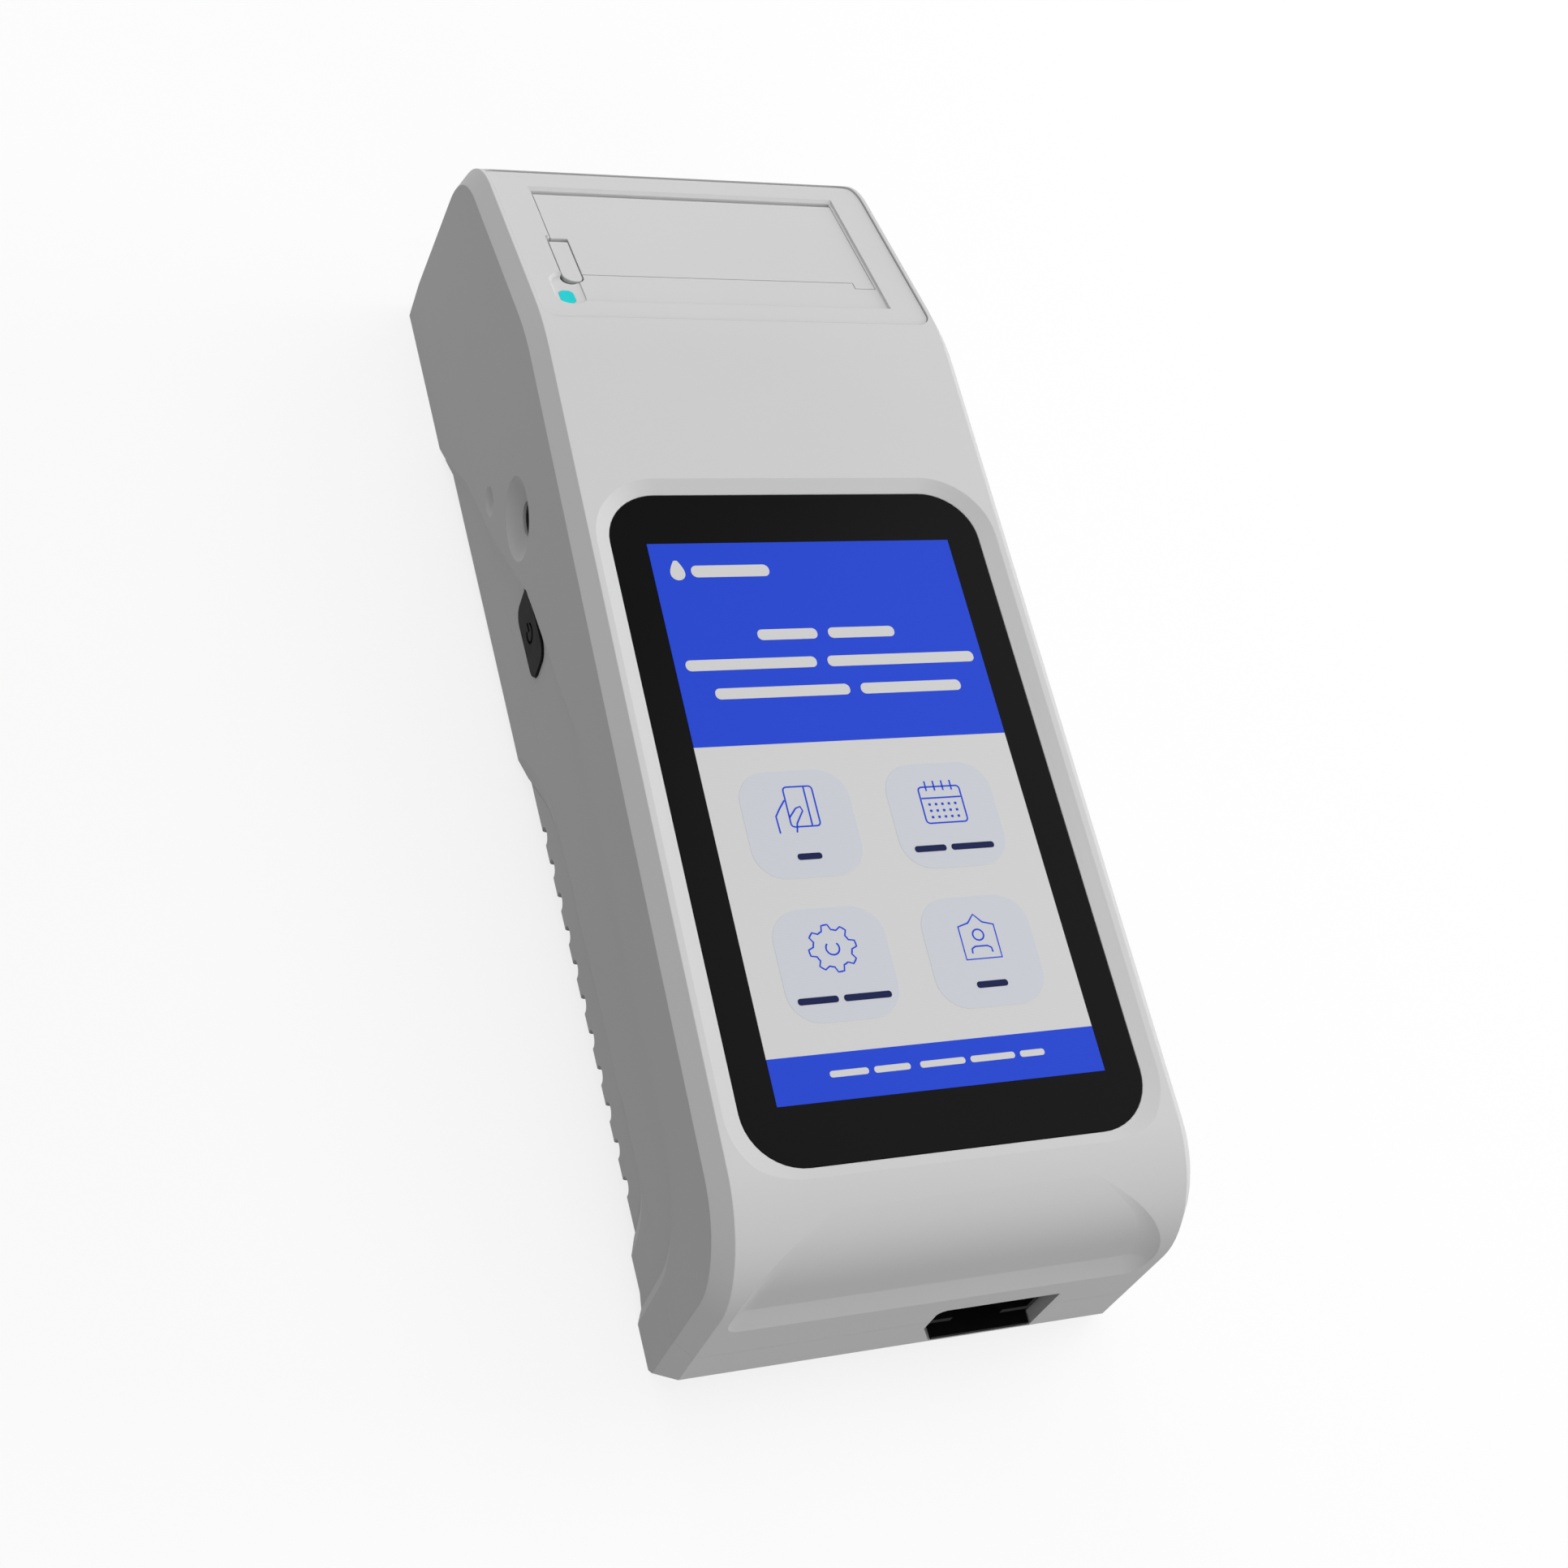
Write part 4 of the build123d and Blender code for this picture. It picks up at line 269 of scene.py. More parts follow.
def worked_steel(name, colour, spacing, rough):
    """Plated steel: soft grey metal whose fine working marks, spaced in millimetres, spread the light."""
    made, tree, shader, place = start_finish(name, {"Metallic": 1.0})
    stretch = (per_metre(spacing), per_metre(20), per_metre(spacing))
    along = add(tree, "Mapping", {"Scale": stretch}, {"Vector": place})
    marks = add(tree, "TexNoise", {"Scale": 1.0, "Detail": 4.0}, {"Vector": along.outputs[0]})
    stain = add(tree, "TexNoise", {"Scale": per_metre(6), "Detail": 3.0}, {"Vector": place})
    tones = {"data_type": "RGBA", 6: linear(colour), 7: linear("#c9c8c4")}
    tone = add(tree, "Mix", tones, {0: stain.outputs[0]})
    tree.links.new(tone.outputs[2], shader.inputs["Base Color"])
    sheen = add(tree, "MapRange", {"To Min": rough, "To Max": rough + 0.18}, {"Value": marks.outputs[0]})
    tree.links.new(sheen.outputs[0], shader.inputs["Roughness"])
    relief = add(tree, "Bump", {"Strength": 0.1, "Distance": 0.01 * MM}, {"Height": marks.outputs[0]})
    tree.links.new(relief.outputs[0], shader.inputs["Normal"])
    return made


def plated_brass():
    """Nickel and gold flash over brass: warm pale metal, bright where it is wiped."""
    made, tree, shader, place = start_finish("plated contact brass", {"Metallic": 1.0})
    wiped = add(tree, "TexNoise", {"Scale": per_metre(1.5), "Detail": 4.0}, {"Vector": place})
    tones = {"data_type": "RGBA", 6: linear("#c9a75c"), 7: linear("#ddc890")}
    tone = add(tree, "Mix", tones, {0: wiped.outputs[0]})
    tree.links.new(tone.outputs[2], shader.inputs["Base Color"])
    sheen = add(tree, "MapRange", {"To Min": 0.2, "To Max": 0.38}, {"Value": wiped.outputs[0]})
    tree.links.new(sheen.outputs[0], shader.inputs["Roughness"])
    return made


def shrink_sleeve():
    """PVC sleeve shrunk on a cell: clear bright blue, drawn tight, with bare steel at both ends."""
    made, tree, shader, place = start_finish("shrunk PVC sleeve", {"IOR": 1.53})
    low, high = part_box("battery_cells")
    along = add(tree, "SeparateXYZ", links={"Vector": place})
    middle = (low[1] + high[1]) / 2
    from_middle = add(tree, "Math", {"operation": "SUBTRACT", 1: middle}, {0: along.outputs["Y"]})
    distance = add(tree, "Math", {"operation": "ABSOLUTE"}, {0: from_middle.outputs[0]})
    sleeve_end = (high[1] - low[1]) / 2 - BARE_END * MM
    bare = add(tree, "Math", {"operation": "GREATER_THAN", 1: sleeve_end}, {0: distance.outputs[0]})
    wrinkle = add(tree, "TexNoise", {"Scale": per_metre(3), "Detail": 2.0}, {"Vector": place})
    tones = {"data_type": "RGBA", 6: linear("#1c5fa6"), 7: linear("#2369b3")}
    blue = add(tree, "Mix", tones, {0: wrinkle.outputs[0]})
    tones = {"data_type": "RGBA", 7: linear("#b8b8b6")}
    tone = add(tree, "Mix", tones, {0: bare.outputs[0], 6: blue.outputs[2]})
    tree.links.new(tone.outputs[2], shader.inputs["Base Color"])
    tree.links.new(bare.outputs[0], shader.inputs["Metallic"])
    sheen = add(tree, "MapRange", {"To Min": 0.22, "To Max": 0.34}, {"Value": wrinkle.outputs[0]})
    tree.links.new(sheen.outputs[0], shader.inputs["Roughness"])
    relief = add(tree, "Bump", {"Strength": 0.15, "Distance": 0.05 * MM}, {"Height": wrinkle.outputs[0]})
    tree.links.new(relief.outputs[0], shader.inputs["Normal"])
    return made


def solder_mask():
    """Glass epoxy laminate under green solder mask: glossy dark green, lighter over its copper tracks."""
    made, tree, shader, place = start_finish("solder mask on laminate", {"IOR": 1.52, "Roughness": 0.32})
    # Tracks 1.2 mm apart, so that they can be seen.
    layout = {"Scale": per_metre(1.2), "Mortar Size": 0.08, "Brick Width": 3.2, "Row Height": 1.0}
    layout |= {"Color1": linear("#0e4a29"), "Color2": linear("#125330"), "Mortar": linear("#2c7a4c")}
    tracks = add(tree, "TexBrick", layout, {"Vector": place})
    weave = add(tree, "TexNoise", {"Scale": per_metre(0.8), "Detail": 2.0}, {"Vector": place})
    tree.links.new(tracks.outputs["Color"], shader.inputs["Base Color"])
    relief = add(tree, "Bump", {"Strength": 0.25, "Distance": 0.03 * MM}, {"Height": weave.outputs[0]})
    tree.links.new(relief.outputs[0], shader.inputs["Normal"])
    return made


def natural_acetal():
    """Acetal, moulded uncoloured: milky white, slightly waxy, and light shines a little way in."""
    sockets = {"IOR": 1.48, "Subsurface Weight": 0.1}
    sockets |= {"Subsurface Scale": 1.0 * MM, "Subsurface Radius": (1.0, 0.9, 0.8)}
    made, tree, shader, place = start_finish("natural acetal", sockets)
    cloud = add(tree, "TexNoise", {"Scale": per_metre(3), "Detail": 2.0}, {"Vector": place})
    tones = {"data_type": "RGBA", 6: linear("#dedbd0"), 7: linear("#e6e4dc")}
    tone = add(tree, "Mix", tones, {0: cloud.outputs[0]})
    tree.links.new(tone.outputs[2], shader.inputs["Base Color"])
    sheen = add(tree, "MapRange", {"To Min": 0.32, "To Max": 0.45}, {"Value": cloud.outputs[0]})
    tree.links.new(sheen.outputs[0], shader.inputs["Roughness"])
    return made


def glazed_alumina():
    """Alumina print head under glaze: pale brown ceramic, glossy and faintly speckled."""
    made, tree, shader, place = start_finish("glazed alumina", {"IOR": 1.6, "Roughness": 0.18})
    speckle = add(tree, "TexNoise", {"Scale": per_metre(0.6), "Detail": 3.0}, {"Vector": place})
    tones = {"data_type": "RGBA", 6: linear("#6b5f55"), 7: linear("#857868")}
    tone = add(tree, "Mix", tones, {0: speckle.outputs[0]})
    tree.links.new(tone.outputs[2], shader.inputs["Base Color"])
    return made


def thermal_paper():
    """Coated thermal paper wound on a core: smooth white, its layers showing as rings at the ends."""
    made, tree, shader, place = start_finish("wound thermal paper", {"IOR": 1.45, "Roughness": 0.7})
    low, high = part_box("paper_roll")
    middle = (low + high) / 2
    centred = add(tree, "Mapping", {"Location": tuple(-middle)}, {"Vector": place})
    # Layers 0.4 mm thick: the paper's own 0.06 mm is too fine to show.
    rings = {"wave_type": "RINGS", "rings_direction": "X", "Scale": per_metre(0.4) / 20, "Distortion": 0.0}
    layers = add(tree, "TexWave", rings, {"Vector": centred.outputs[0]})
    tones = {"data_type": "RGBA", 6: linear("#dcdcd8"), 7: linear("#ecece8")}
    tone = add(tree, "Mix", tones, {0: layers.outputs["Fac"]})
    tree.links.new(tone.outputs[2], shader.inputs["Base Color"])
    fibre = add(tree, "TexNoise", {"Scale": per_metre(0.5), "Detail": 3.0}, {"Vector": place})
    relief = add(tree, "Bump", {"Strength": 0.1, "Distance": 0.02 * MM}, {"Height": fibre.outputs[0]})
    tree.links.new(relief.outputs[0], shader.inputs["Normal"])
    return made


def core_card():
    """Spiral-wound core card: brown, fibrous and dull."""
    made, tree, shader, place = start_finish("core card", {"IOR": 1.45, "Roughness": 0.9})
    fibre = add(tree, "TexNoise", {"Scale": per_metre(0.7), "Detail": 5.0}, {"Vector": place})
    tones = {"data_type": "RGBA", 6: linear("#8a6c48"), 7: linear("#a88a62")}
    tone = add(tree, "Mix", tones, {0: fibre.outputs[0]})
    tree.links.new(tone.outputs[2], shader.inputs["Base Color"])
    relief = add(tree, "Bump", {"Strength": 0.3, "Distance": 0.05 * MM}, {"Height": fibre.outputs[0]})
    tree.links.new(relief.outputs[0], shader.inputs["Normal"])
    return made


def polished_lens():
    """Optical glass, polished: clear, with a faint violet from its coating."""
    sockets = {"IOR": 1.52, "Roughness": 0.03, "Transmission Weight": 0.85}
    made, tree, shader, place = start_finish("coated optical glass", sockets)
    coating = add(tree, "LayerWeight", {"Blend": 0.4})
    tones = {"data_type": "RGBA", 6: linear("#dfe9ee"), 7: linear("#b9a6d8")}
    tone = add(tree, "Mix", tones, {0: coating.outputs["Facing"]})
    tree.links.new(tone.outputs[2], shader.inputs["Base Color"])
    return made


def light_guide():
    """Tinted acrylic light guide, lit from below: even bright cyan."""
    sockets = {"Roughness": 0.3, "IOR": 1.49, "Specular IOR Level": 0.05}
    sockets |= {"Emission Color": linear("#00d4d8"), "Emission Strength": 0.35}
    made, tree, shader, place = start_finish("lit acrylic light guide", sockets)
    spread = add(tree, "TexNoise", {"Scale": per_metre(1.2), "Detail": 1.0}, {"Vector": place})
    tones = {"data_type": "RGBA", 6: linear("#00a6a9"), 7: linear("#00b2b5")}
    tone = add(tree, "Mix", tones, {0: spread.outputs[0]})
    tree.links.new(tone.outputs[2], shader.inputs["Base Color"])
    return made


def paint_nodes():
    """Gives every CAD node the finish its real piece has."""
    shell = moulded_abs()
    nylon = black_nylon("moulded black nylon", "#161616", "#222222", 0.35)
    # Painted shade: the slot's liner and tray get a darker copy of the black nylon with almost no gloss, so
    # that the slot's inside reads as shade.
    slot_shade_nylon = black_nylon("matt black nylon, painted slot shade", "#0a0a0a", "#101010", 0.04)
    key_rubber = silicone_rubber("silicone rubber, key", "#121212", "#181818", 0.12)
    roller_rubber = silicone_rubber("silicone rubber, roller", "#1d1d1f", "#2a2a2c", 0.3)
    zinc = worked_steel("zinc-plated steel", "#a8a9a8", 0.25, 0.3)
    turned = worked_steel("turned steel", "#b4b4b2", 0.12, 0.18)
    sheet = worked_steel("rolled steel sheet", "#b0b1b1", 0.4, 0.34)
    brass = plated_brass()
    mask = solder_mask()
    acetal = natural_acetal()
    finishes = {
        shell: [
            "upper_shell",
            "lower_shell",
            "battery_cover",
            "printer_bezel",
            "printer_door",
            "release_lever",
        ],
        nylon: [
            "buzzer",
            "printer_frame",
            "optical_head",
            "power_switch",
            "charge_socket",
        ],
        slot_shade_nylon: ["slot_liner", "cassette_tray"],
        key_rubber: ["power_button"],
        roller_rubber: ["platen_roller"],
        zinc: ["shell_screws", "cover_screw", "board_screws", "printer_screws"],
        turned: ["door_hinge_pin", "lever_pin", "platen_shaft", "feed_motor", "tray_motor"],
        sheet: ["display_carrier", "board_shield", "tear_bar"],
        brass: ["battery_contacts", "charge_pin"],
        mask: ["main_board", "optics_board", "side_board"],
        acetal: ["platen_gear", "idler_gear", "motor_pinion", "tray_pinion"],
        shrink_sleeve(): ["battery_cells"],
        printed_glass(): ["touch_glass"],
        cell_foam(): ["display_gasket"],
        lit_picture("liquid crystal module", "#3a3a40", 0.0): ["display_module"],
        glazed_alumina(): ["print_head"],
        thermal_paper(): ["paper_roll"],
        core_card(): ["paper_core"],
        polished_lens(): ["optical_lens"],
        light_guide(): ["status_light"],
    }
    for finish, nodes in finishes.items():
        for node in nodes:
            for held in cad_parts[node].material_slots:
                held.material = finish


def screen_matrix():
    """The cover glass's front: right is across it, up is toward its head, and out is away from it."""
    low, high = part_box("touch_glass")
    lean = Matrix.Rotation(math.radians(SCREEN_TILT), 4, "X")
    middle = Vector(low) + (Vector(high) - Vector(low)) / 2
    return Matrix.Translation(middle) @ lean @ Matrix.Translation((0, 0, GLASS_THICKNESS / 2 * MM))


def key_matrix():
    """The power key's face: right is down the unit's side, up is toward its head, and out is to the left."""
    low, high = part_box("power_button")
    turn = Matrix(((0, 0, -1), (0, 1, 0), (1, 0, 0))).to_4x4()
    return Matrix.Translation((low[0], (low[1] + high[1]) / 2, (low[2] + high[2]) / 2)) @ turn


def settle(piece, matrix, finish, body):
    """Sets a piece on its surface, keeps its place in its mesh, and gives it its finish and its body."""
    bpy.ops.object.select_all(action="DESELECT")
    piece.select_set(True)
    bpy.context.view_layer.objects.active = piece
    piece.matrix_world = matrix
    bpy.ops.object.transform_apply(location=True, rotation=True, scale=True)
    piece.data.materials.clear()
    piece.data.materials.append(finish)
    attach(piece, body)


def plate(name, left, right, low, high, radius, top):
    """A thin plate with round corners and a softened rim, in the surface's own coordinates."""
    bpy.ops.object.select_all(action="DESELECT")
    bpy.ops.mesh.primitive_plane_add(size=1)
    piece = bpy.context.object
    piece.name = name
    bpy.ops.object.mode_set(mode="EDIT")
    bpy.ops.transform.resize(value=((right - left) * MM, (high - low) * MM, 1))
    bpy.ops.transform.translate(value=((left + right) / 2 * MM, (low + high) / 2 * MM, SUNK * MM))
    bpy.ops.mesh.bevel(offset=radius * MM, segments=8, affect="VERTICES")
    bpy.ops.mesh.select_all(action="SELECT")
    bpy.ops.mesh.extrude_region_move(TRANSFORM_OT_translate={"value": (0, 0, (top - SUNK) * MM)})
    bpy.ops.mesh.bevel(offset=RIM * MM, segments=1, affect="EDGES")
    bpy.ops.mesh.select_all(action="SELECT")
    bpy.ops.mesh.normals_make_consistent(inside=False)
    bpy.ops.object.mode_set(mode="OBJECT")
    return piece


def bar(name, span, height, top):
    """A plain bar that stands in for a word."""
    left, right, middle = span
    return plate(name, left, right, middle - height / 2, middle + height / 2, height * BAR_ROUNDING, top)


def drawn(name, width, top):
    """Turns the outline in hand into a flat drawn line of that width."""
    piece = bpy.context.object
    piece.name = name
    bpy.ops.object.convert(target="CURVE")
    piece = bpy.context.object
    piece.data.bevel_depth = width / 2 * MM
    piece.data.bevel_resolution = 1
    piece.data.use_fill_caps = True
    bpy.ops.object.convert(target="MESH")
    piece = bpy.context.object
    bpy.ops.object.mode_set(mode="EDIT")
    bpy.ops.mesh.select_all(action="SELECT")
    bpy.ops.mesh.remove_doubles(threshold=0.002 * MM)
    bpy.ops.transform.resize(value=(1, 1, 2 * top / width))
    bpy.ops.mesh.normals_make_consistent(inside=False)
    bpy.ops.object.mode_set(mode="OBJECT")
    return piece


def line(name, corners, closed=False, width=LINE_WIDTH, top=MARK_TOP):
    """A line drawn from corner to corner."""
    bpy.ops.object.select_all(action="DESELECT")
    bpy.ops.mesh.primitive_plane_add(size=width * MM)
    bpy.ops.object.mode_set(mode="EDIT")
    bpy.ops.mesh.merge(type="CENTER")
    bpy.ops.transform.translate(value=(corners[0][0] * MM, corners[0][1] * MM, 0))
    for start, end in zip(corners, corners[1:]):
        step = ((end[0] - start[0]) * MM, (end[1] - start[1]) * MM, 0)
        bpy.ops.mesh.extrude_region_move(TRANSFORM_OT_translate={"value": step})
    if closed:
        bpy.ops.mesh.select_all(action="SELECT")
        bpy.ops.mesh.edge_face_add()
        bpy.ops.mesh.delete(type="ONLY_FACE")
    bpy.ops.object.mode_set(mode="OBJECT")
    return drawn(name, width, top)


def select_vertices(piece, wanted):
    """Selects the vertices whose place passes the test."""
    bpy.ops.object.mode_set(mode="EDIT")
    bpy.ops.mesh.select_mode(type="VERT")
    bpy.ops.mesh.select_all(action="DESELECT")
    bpy.ops.object.mode_set(mode="OBJECT")
    for index, vertex in enumerate(piece.data.vertices):
        vertex.select = wanted(index, vertex.co)
    bpy.ops.object.mode_set(mode="EDIT")


def box_line(name, left, right, low, high, radius):
    """A drawn rectangle with round corners."""
    bpy.ops.object.select_all(action="DESELECT")
    bpy.ops.mesh.primitive_plane_add(size=1)
    bpy.ops.object.mode_set(mode="EDIT")
    bpy.ops.transform.resize(value=((right - left) * MM, (high - low) * MM, 1))
    bpy.ops.transform.translate(value=((left + right) / 2 * MM, (low + high) / 2 * MM, 0))
    bpy.ops.mesh.bevel(offset=radius * MM, segments=4, affect="VERTICES")
    bpy.ops.mesh.select_all(action="SELECT")
    bpy.ops.mesh.delete(type="ONLY_FACE")
    bpy.ops.object.mode_set(mode="OBJECT")
    return drawn(name, LINE_WIDTH, MARK_TOP)


def ring_line(name, x, y, radius, gap, width=LINE_WIDTH, top=MARK_TOP):
    """A drawn ring, left open by this many of its points at the top."""
    bpy.ops.object.select_all(action="DESELECT")
    bpy.ops.mesh.primitive_circle_add(vertices=RING_POINTS, radius=radius * MM, location=(x * MM, y * MM, 0))
    piece = bpy.context.object
    bpy.ops.object.transform_apply(location=True, rotation=False, scale=False)
    reach = radius * MM * math.cos(math.pi / RING_POINTS * gap)
    select_vertices(piece, lambda index, place: gap > 0 and place.y - y * MM > reach)
    bpy.ops.mesh.delete(type="VERT")
    bpy.ops.object.mode_set(mode="OBJECT")
    return drawn(name, width, top)


def gear_line(name, x, y, tip, root):
    """A drawn gear: a ring with half of each tooth's points drawn in to the root."""
    bpy.ops.object.select_all(action="DESELECT")
    bpy.ops.mesh.primitive_circle_add(vertices=GEAR_TEETH * POINTS_PER_TOOTH, radius=tip * MM)
    piece = bpy.context.object
    select_vertices(piece, lambda index, place: index % POINTS_PER_TOOTH >= POINTS_PER_TOOTH / 2)
    shrink = root / tip
    bpy.ops.transform.resize(value=(shrink, shrink, 1), center_override=(0, 0, 0))
    bpy.ops.mesh.select_all(action="SELECT")
    bpy.ops.transform.translate(value=(x * MM, y * MM, 0))
    bpy.ops.object.mode_set(mode="OBJECT")
    return drawn(name, LINE_WIDTH, MARK_TOP)


def join(name, pieces):
    """Makes these pieces one."""
    bpy.ops.object.select_all(action="DESELECT")
    for piece in pieces:
        piece.select_set(True)
    bpy.context.view_layer.objects.active = pieces[0]
    bpy.ops.object.join()
    joined = bpy.context.object
    joined.name = name
    return joined


def dot_rows(x0, y0, columns, rows, pitch):
    """Small dots in rows, one modelled and the rest copied."""
    across = (x0 - DOT_HALF, x0 + DOT_HALF)
    along = (y0 - DOT_HALF, y0 + DOT_HALF)
    first = plate("dot", *across, *along, DOT_CORNER, MARK_TOP)
    dots = [first]
    for row in range(rows):
        for column in range(columns):
            if row == column == 0:
                continue
            bpy.ops.object.select_all(action="DESELECT")
            first.select_set(True)
            bpy.context.view_layer.objects.active = first
            step = (column * pitch * MM, -row * pitch * MM, 0)
            bpy.ops.object.duplicate_move(TRANSFORM_OT_translate={"value": step})
            dots.append(bpy.context.object)
            bpy.ops.object.transform_apply(location=True, rotation=False, scale=False)
    return dots


def test_icon():
    """A hand holding out a test card."""
    card = box_line("card", -16.2, -10.6, -4.5, 3.5, 0.7)
    edge = line("card edge", [(-12.2, 3.4), (-12.2, -4.4)])
    palm = line("palm", [(-18.6, -5.6), (-18.7, -2.2), (-17.6, -0.6), (-16.4, 0.9)])
    finger = [(-15.4, -5.6), (-15.0, -3.8), (-13.4, -1.4), (-13.7, -0.5), (-14.6, -0.8), (-16.2, -2.6)]
    thumb = line("thumb", finger)
    return join("test_icon", [card, edge, palm, thumb])


def records_icon():
    """A calendar leaf."""
    leaf = box_line("leaf", 10.1, 18.4, -5.5, 1.9, 0.7)
    rule = line("rule", [(10.3, -0.4), (18.2, -0.4)])
    loops = [line("loop", [(x, 1.1), (x, 3.1)]) for x in (11.7, 13.4, 15.1, 16.8)]
    return join("records_icon", [leaf, rule, *loops, *dot_rows(11.6, -1.7, 5, 3, 1.3)])


def settings_icon():
    """A gear."""
    wheel = gear_line("wheel", -14.2, -28.2, 4.5, 3.55)
    hub = ring_line("hub", -14.2, -28.2, 1.25, OPEN_POINTS)
    return join("settings_icon", [wheel, hub])


def about_icon():
    """A badge with a plain figure on it."""
    left = [(10.5, -32.6), (10.5, -26.2), (12.6, -25.6), (14.0, -24.0)]
    right = [(15.4, -25.6), (17.5, -26.2), (17.5, -32.6)]
    badge = line("badge", left + right, closed=True)
    head = ring_line("head", 14.0, -28.0, 1.05, 0)
    bust = [(12.0, -31.5), (12.1, -30.6), (12.8, -30.2), (15.2, -30.2), (15.9, -30.6), (16.0, -31.5)]
    shoulders = line("shoulders", bust)
    return join("about_icon", [badge, head, shoulders])


def drop_mark():
    """A plain drop at the head of the picture."""
    bpy.ops.object.select_all(action="DESELECT")
    bpy.ops.mesh.primitive_circle_add(vertices=RING_POINTS, radius=DROP_RADIUS * MM, fill_type="NGON")
    piece = bpy.context.object
    piece.name = "drop_mark"
    tip = DROP_RADIUS * MM * math.cos(math.pi / RING_POINTS * DROP_TIP_POINTS)
    select_vertices(piece, lambda index, place: place.y > tip)
    bpy.ops.transform.translate(
        value=(0, DROP_RISE * MM, 0),
        use_proportional_edit=True,
        proportional_edit_falloff="SHARP",
        proportional_size=DROP_REACH * MM,
    )
    bpy.ops.mesh.select_all(action="SELECT")
    bpy.ops.transform.translate(value=(DROP_MIDDLE[0] * MM, DROP_MIDDLE[1] * MM, SUNK * MM))
    bpy.ops.mesh.extrude_region_move(TRANSFORM_OT_translate={"value": (0, 0, (MARK_TOP - SUNK) * MM)})
    bpy.ops.mesh.select_all(action="SELECT")
    bpy.ops.mesh.normals_make_consistent(inside=False)
    bpy.ops.object.mode_set(mode="OBJECT")
    return piece


def picture():
    """The lit start page: coloured panels, tiles, drawn icons and plain bars for words."""
    screen = screen_matrix()
    white = lit_picture("lit picture, pale", "#d5d5d5", 0.06)
    blue = lit_picture("lit picture, blue", "#2a4bd4", 0.06)
    pale = lit_picture("lit picture, tile", "#ced1d8", 0.06)
    navy = lit_picture("lit picture, navy", "#1d2450", 0.02)
    half = PICTURE_WIDTH / 2
    end = PICTURE_HALF_LENGTH
    pieces = [
        (plate("picture_body", -half, half, -end, end, PANEL_CORNER, PICTURE_TOP), white),
        (plate("picture_header", -half, half, HEADER_LOW, end, PANEL_CORNER, PANEL_TOP), blue),
        (plate("picture_footer", -half, half, -end, FOOTER_HIGH, PANEL_CORNER, PANEL_TOP), blue),
    ]
    reach = TILE_SIZE / 2
    for name, (x, y) in TILE_MIDDLES.items():
        tile = plate(name + "_tile", x - reach, x + reach, y - reach, y + reach, TILE_RADIUS, PANEL_TOP)
        pieces.append((tile, pale))
    for icon in (test_icon(), records_icon(), settings_icon(), about_icon()):
        pieces.append((icon, blue))
    header_bars = [bar("bar", span, HEADER_BAR_HEIGHT, MARK_TOP) for span in HEADER_BARS]
    title = [drop_mark(), bar("bar", TITLE_BAR, TITLE_BAR_HEIGHT, MARK_TOP)]
    footer_bars = [bar("bar", span, FOOTER_BAR_HEIGHT, MARK_TOP) for span in FOOTER_BARS]
    label_bars = [bar("bar", span, LABEL_BAR_HEIGHT, MARK_TOP) for span in LABEL_BARS]
    pieces.append((join("header_bars", header_bars), white))
    pieces.append((join("title_mark", title), white))
    pieces.append((join("footer_bars", footer_bars), white))
    pieces.append((join("label_bars", label_bars), navy))
    for piece, finish in pieces:
        settle(piece, screen, finish, "casing")


def key_symbol():
    """The standby sign moulded on the power key: an open ring and a stroke."""
    black = silicone_rubber("silicone rubber, symbol", "#020202", "#040404", 0.0)
    ring = ring_line("ring", 0, 0, SYMBOL_RADIUS, OPEN_POINTS, SYMBOL_LINE, SYMBOL_TOP)
    stroke = line("stroke", [(0, y) for y in SYMBOL_STROKE], width=SYMBOL_LINE, top=SYMBOL_TOP)
    settle(join("key_symbol", [ring, stroke]), key_matrix(), black, "power_key")


def seen_directly(tree):
    """One for the eye, reflections and clear pieces, and none for the light that falls on things."""
    seen = add(tree, "LightPath").outputs
    direct = {0: seen["Is Camera Ray"], 1: seen["Is Glossy Ray"]}
    eye = add(tree, "Math", {"operation": "MAXIMUM"}, direct)
    through = {0: eye.outputs[0], 1: seen["Is Transmission Ray"]}
    return add(tree, "Math", {"operation": "MAXIMUM"}, through)


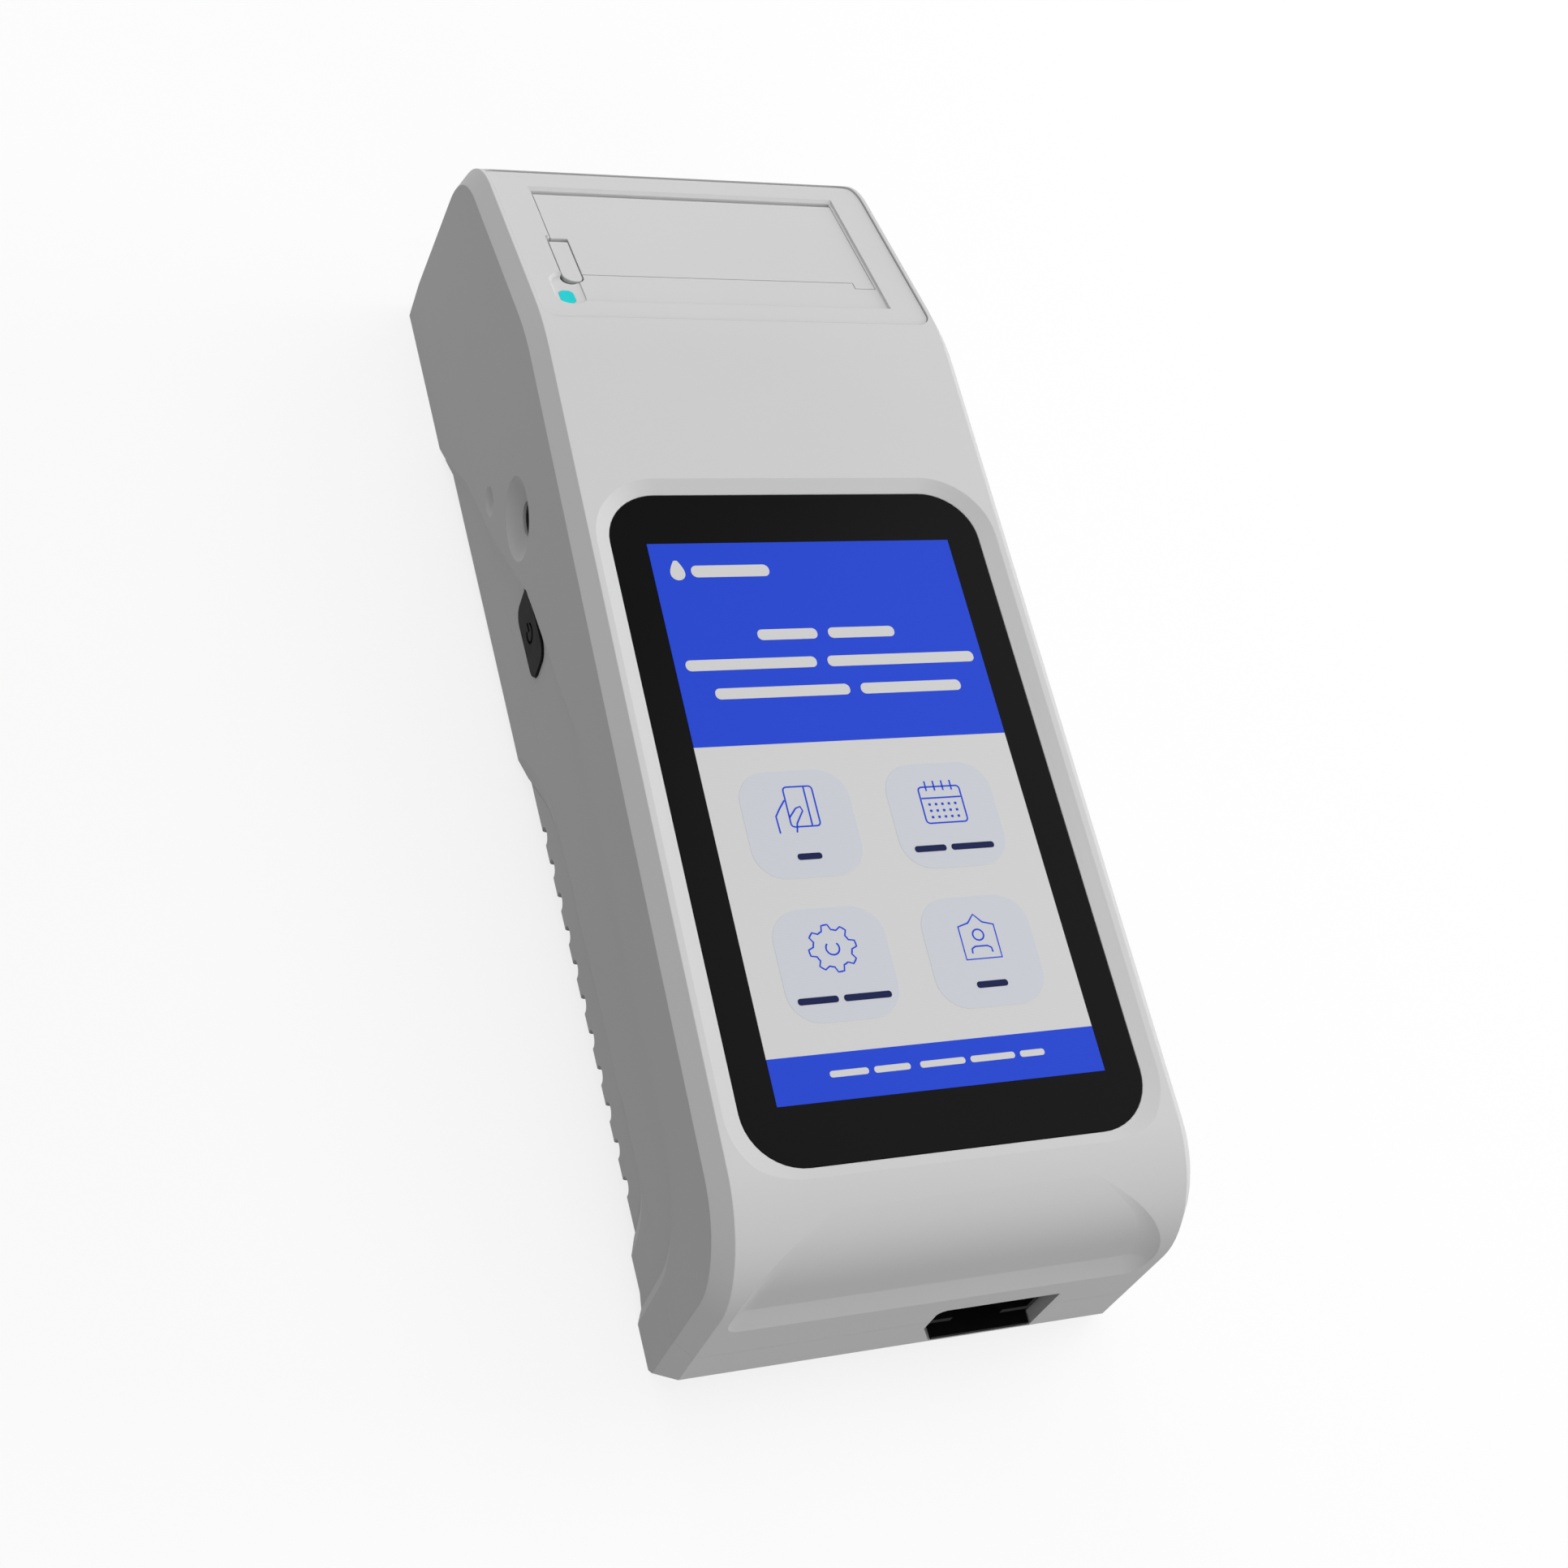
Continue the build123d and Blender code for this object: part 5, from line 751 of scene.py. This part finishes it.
def floor():
    """A plain floor: dark as a source of light, and white to the eye but for the object's soft shadow."""
    bpy.ops.object.select_all(action="DESELECT")
    bpy.ops.mesh.primitive_plane_add(size=FLOOR_SIZE)
    ground = bpy.context.object
    ground.name = "floor"
    made = bpy.data.materials.new("pale floor")
    made.use_nodes = True
    tree = made.node_tree
    tree.nodes.clear()
    bounce = add(tree, "BsdfDiffuse", {"Color": linear("#505050")})
    matt = add(tree, "BsdfDiffuse", {"Color": linear("#808080")})
    lift = add(tree, "Emission", {"Color": linear("#ffffff"), "Strength": FLOOR_LIFT})
    lit = add(tree, "AddShader", links={0: matt.outputs[0], 1: lift.outputs[0]})
    clear = seen_directly(tree)
    mixed = add(tree, "MixShader", links={0: clear.outputs[0], 1: bounce.outputs[0], 2: lit.outputs[0]})
    add(tree, "OutputMaterial", links={"Surface": mixed.outputs[0]})
    ground.data.materials.append(made)


def surroundings():
    """Soft light from all round, and a white background to the eye and in reflections."""
    world = bpy.data.worlds.new("studio")
    bpy.context.scene.world = world
    world.use_nodes = True
    tree = world.node_tree
    tree.nodes.clear()
    soft = add(tree, "Background", {"Color": linear("#ffffff"), "Strength": ALL_ROUND_LIGHT})
    white = add(tree, "Background", {"Color": linear("#ffffff"), "Strength": 1.0})
    clear = seen_directly(tree)
    mixed = add(tree, "MixShader", links={0: clear.outputs[0], 1: soft.outputs[0], 2: white.outputs[0]})
    add(tree, "OutputWorld", links={"Surface": mixed.outputs[0]})


def lamps():
    """Soft round lamps, strongest from the object's right, so that its left side falls into shade."""
    for name, place, power in LAMPS:
        bpy.ops.object.light_add(type="AREA", location=Vector(place) * MM)
        light = bpy.context.object
        light.name = name
        light.data.shape = "DISK"
        light.data.size = LAMP_SIZE * MM
        light.data.energy = power
        light.rotation_euler = (Vector(LAMP_AIM) - Vector(place)).to_track_quat("-Z", "Y").to_euler()


def camera():
    """Stands the camera where the photograph was taken from, rolled as it was held."""
    azimuth = math.radians(CAMERA_AZIMUTH)
    elevation = math.radians(CAMERA_ELEVATION)
    level = math.cos(elevation)
    back = Vector((-math.sin(azimuth) * level, -math.cos(azimuth) * level, math.sin(elevation)))
    bpy.ops.object.camera_add(location=(Vector(AIM) + back * CAMERA_DISTANCE) * MM)
    made = bpy.context.object
    upright = (-back).to_track_quat("-Z", "Y")
    made.rotation_mode = "QUATERNION"
    made.rotation_quaternion = upright @ Quaternion((0, 0, 1), math.radians(-CAMERA_ROLL))
    made.data.lens = LENS
    made.data.sensor_width = SENSOR_WIDTH
    made.data.clip_start = CLIP_NEAR
    made.data.clip_end = CLIP_FAR
    bpy.context.scene.camera = made


paint_nodes()
picture()
key_symbol()
floor()
surroundings()
lamps()
camera()
bpy.context.scene.view_settings.view_transform = "Standard"
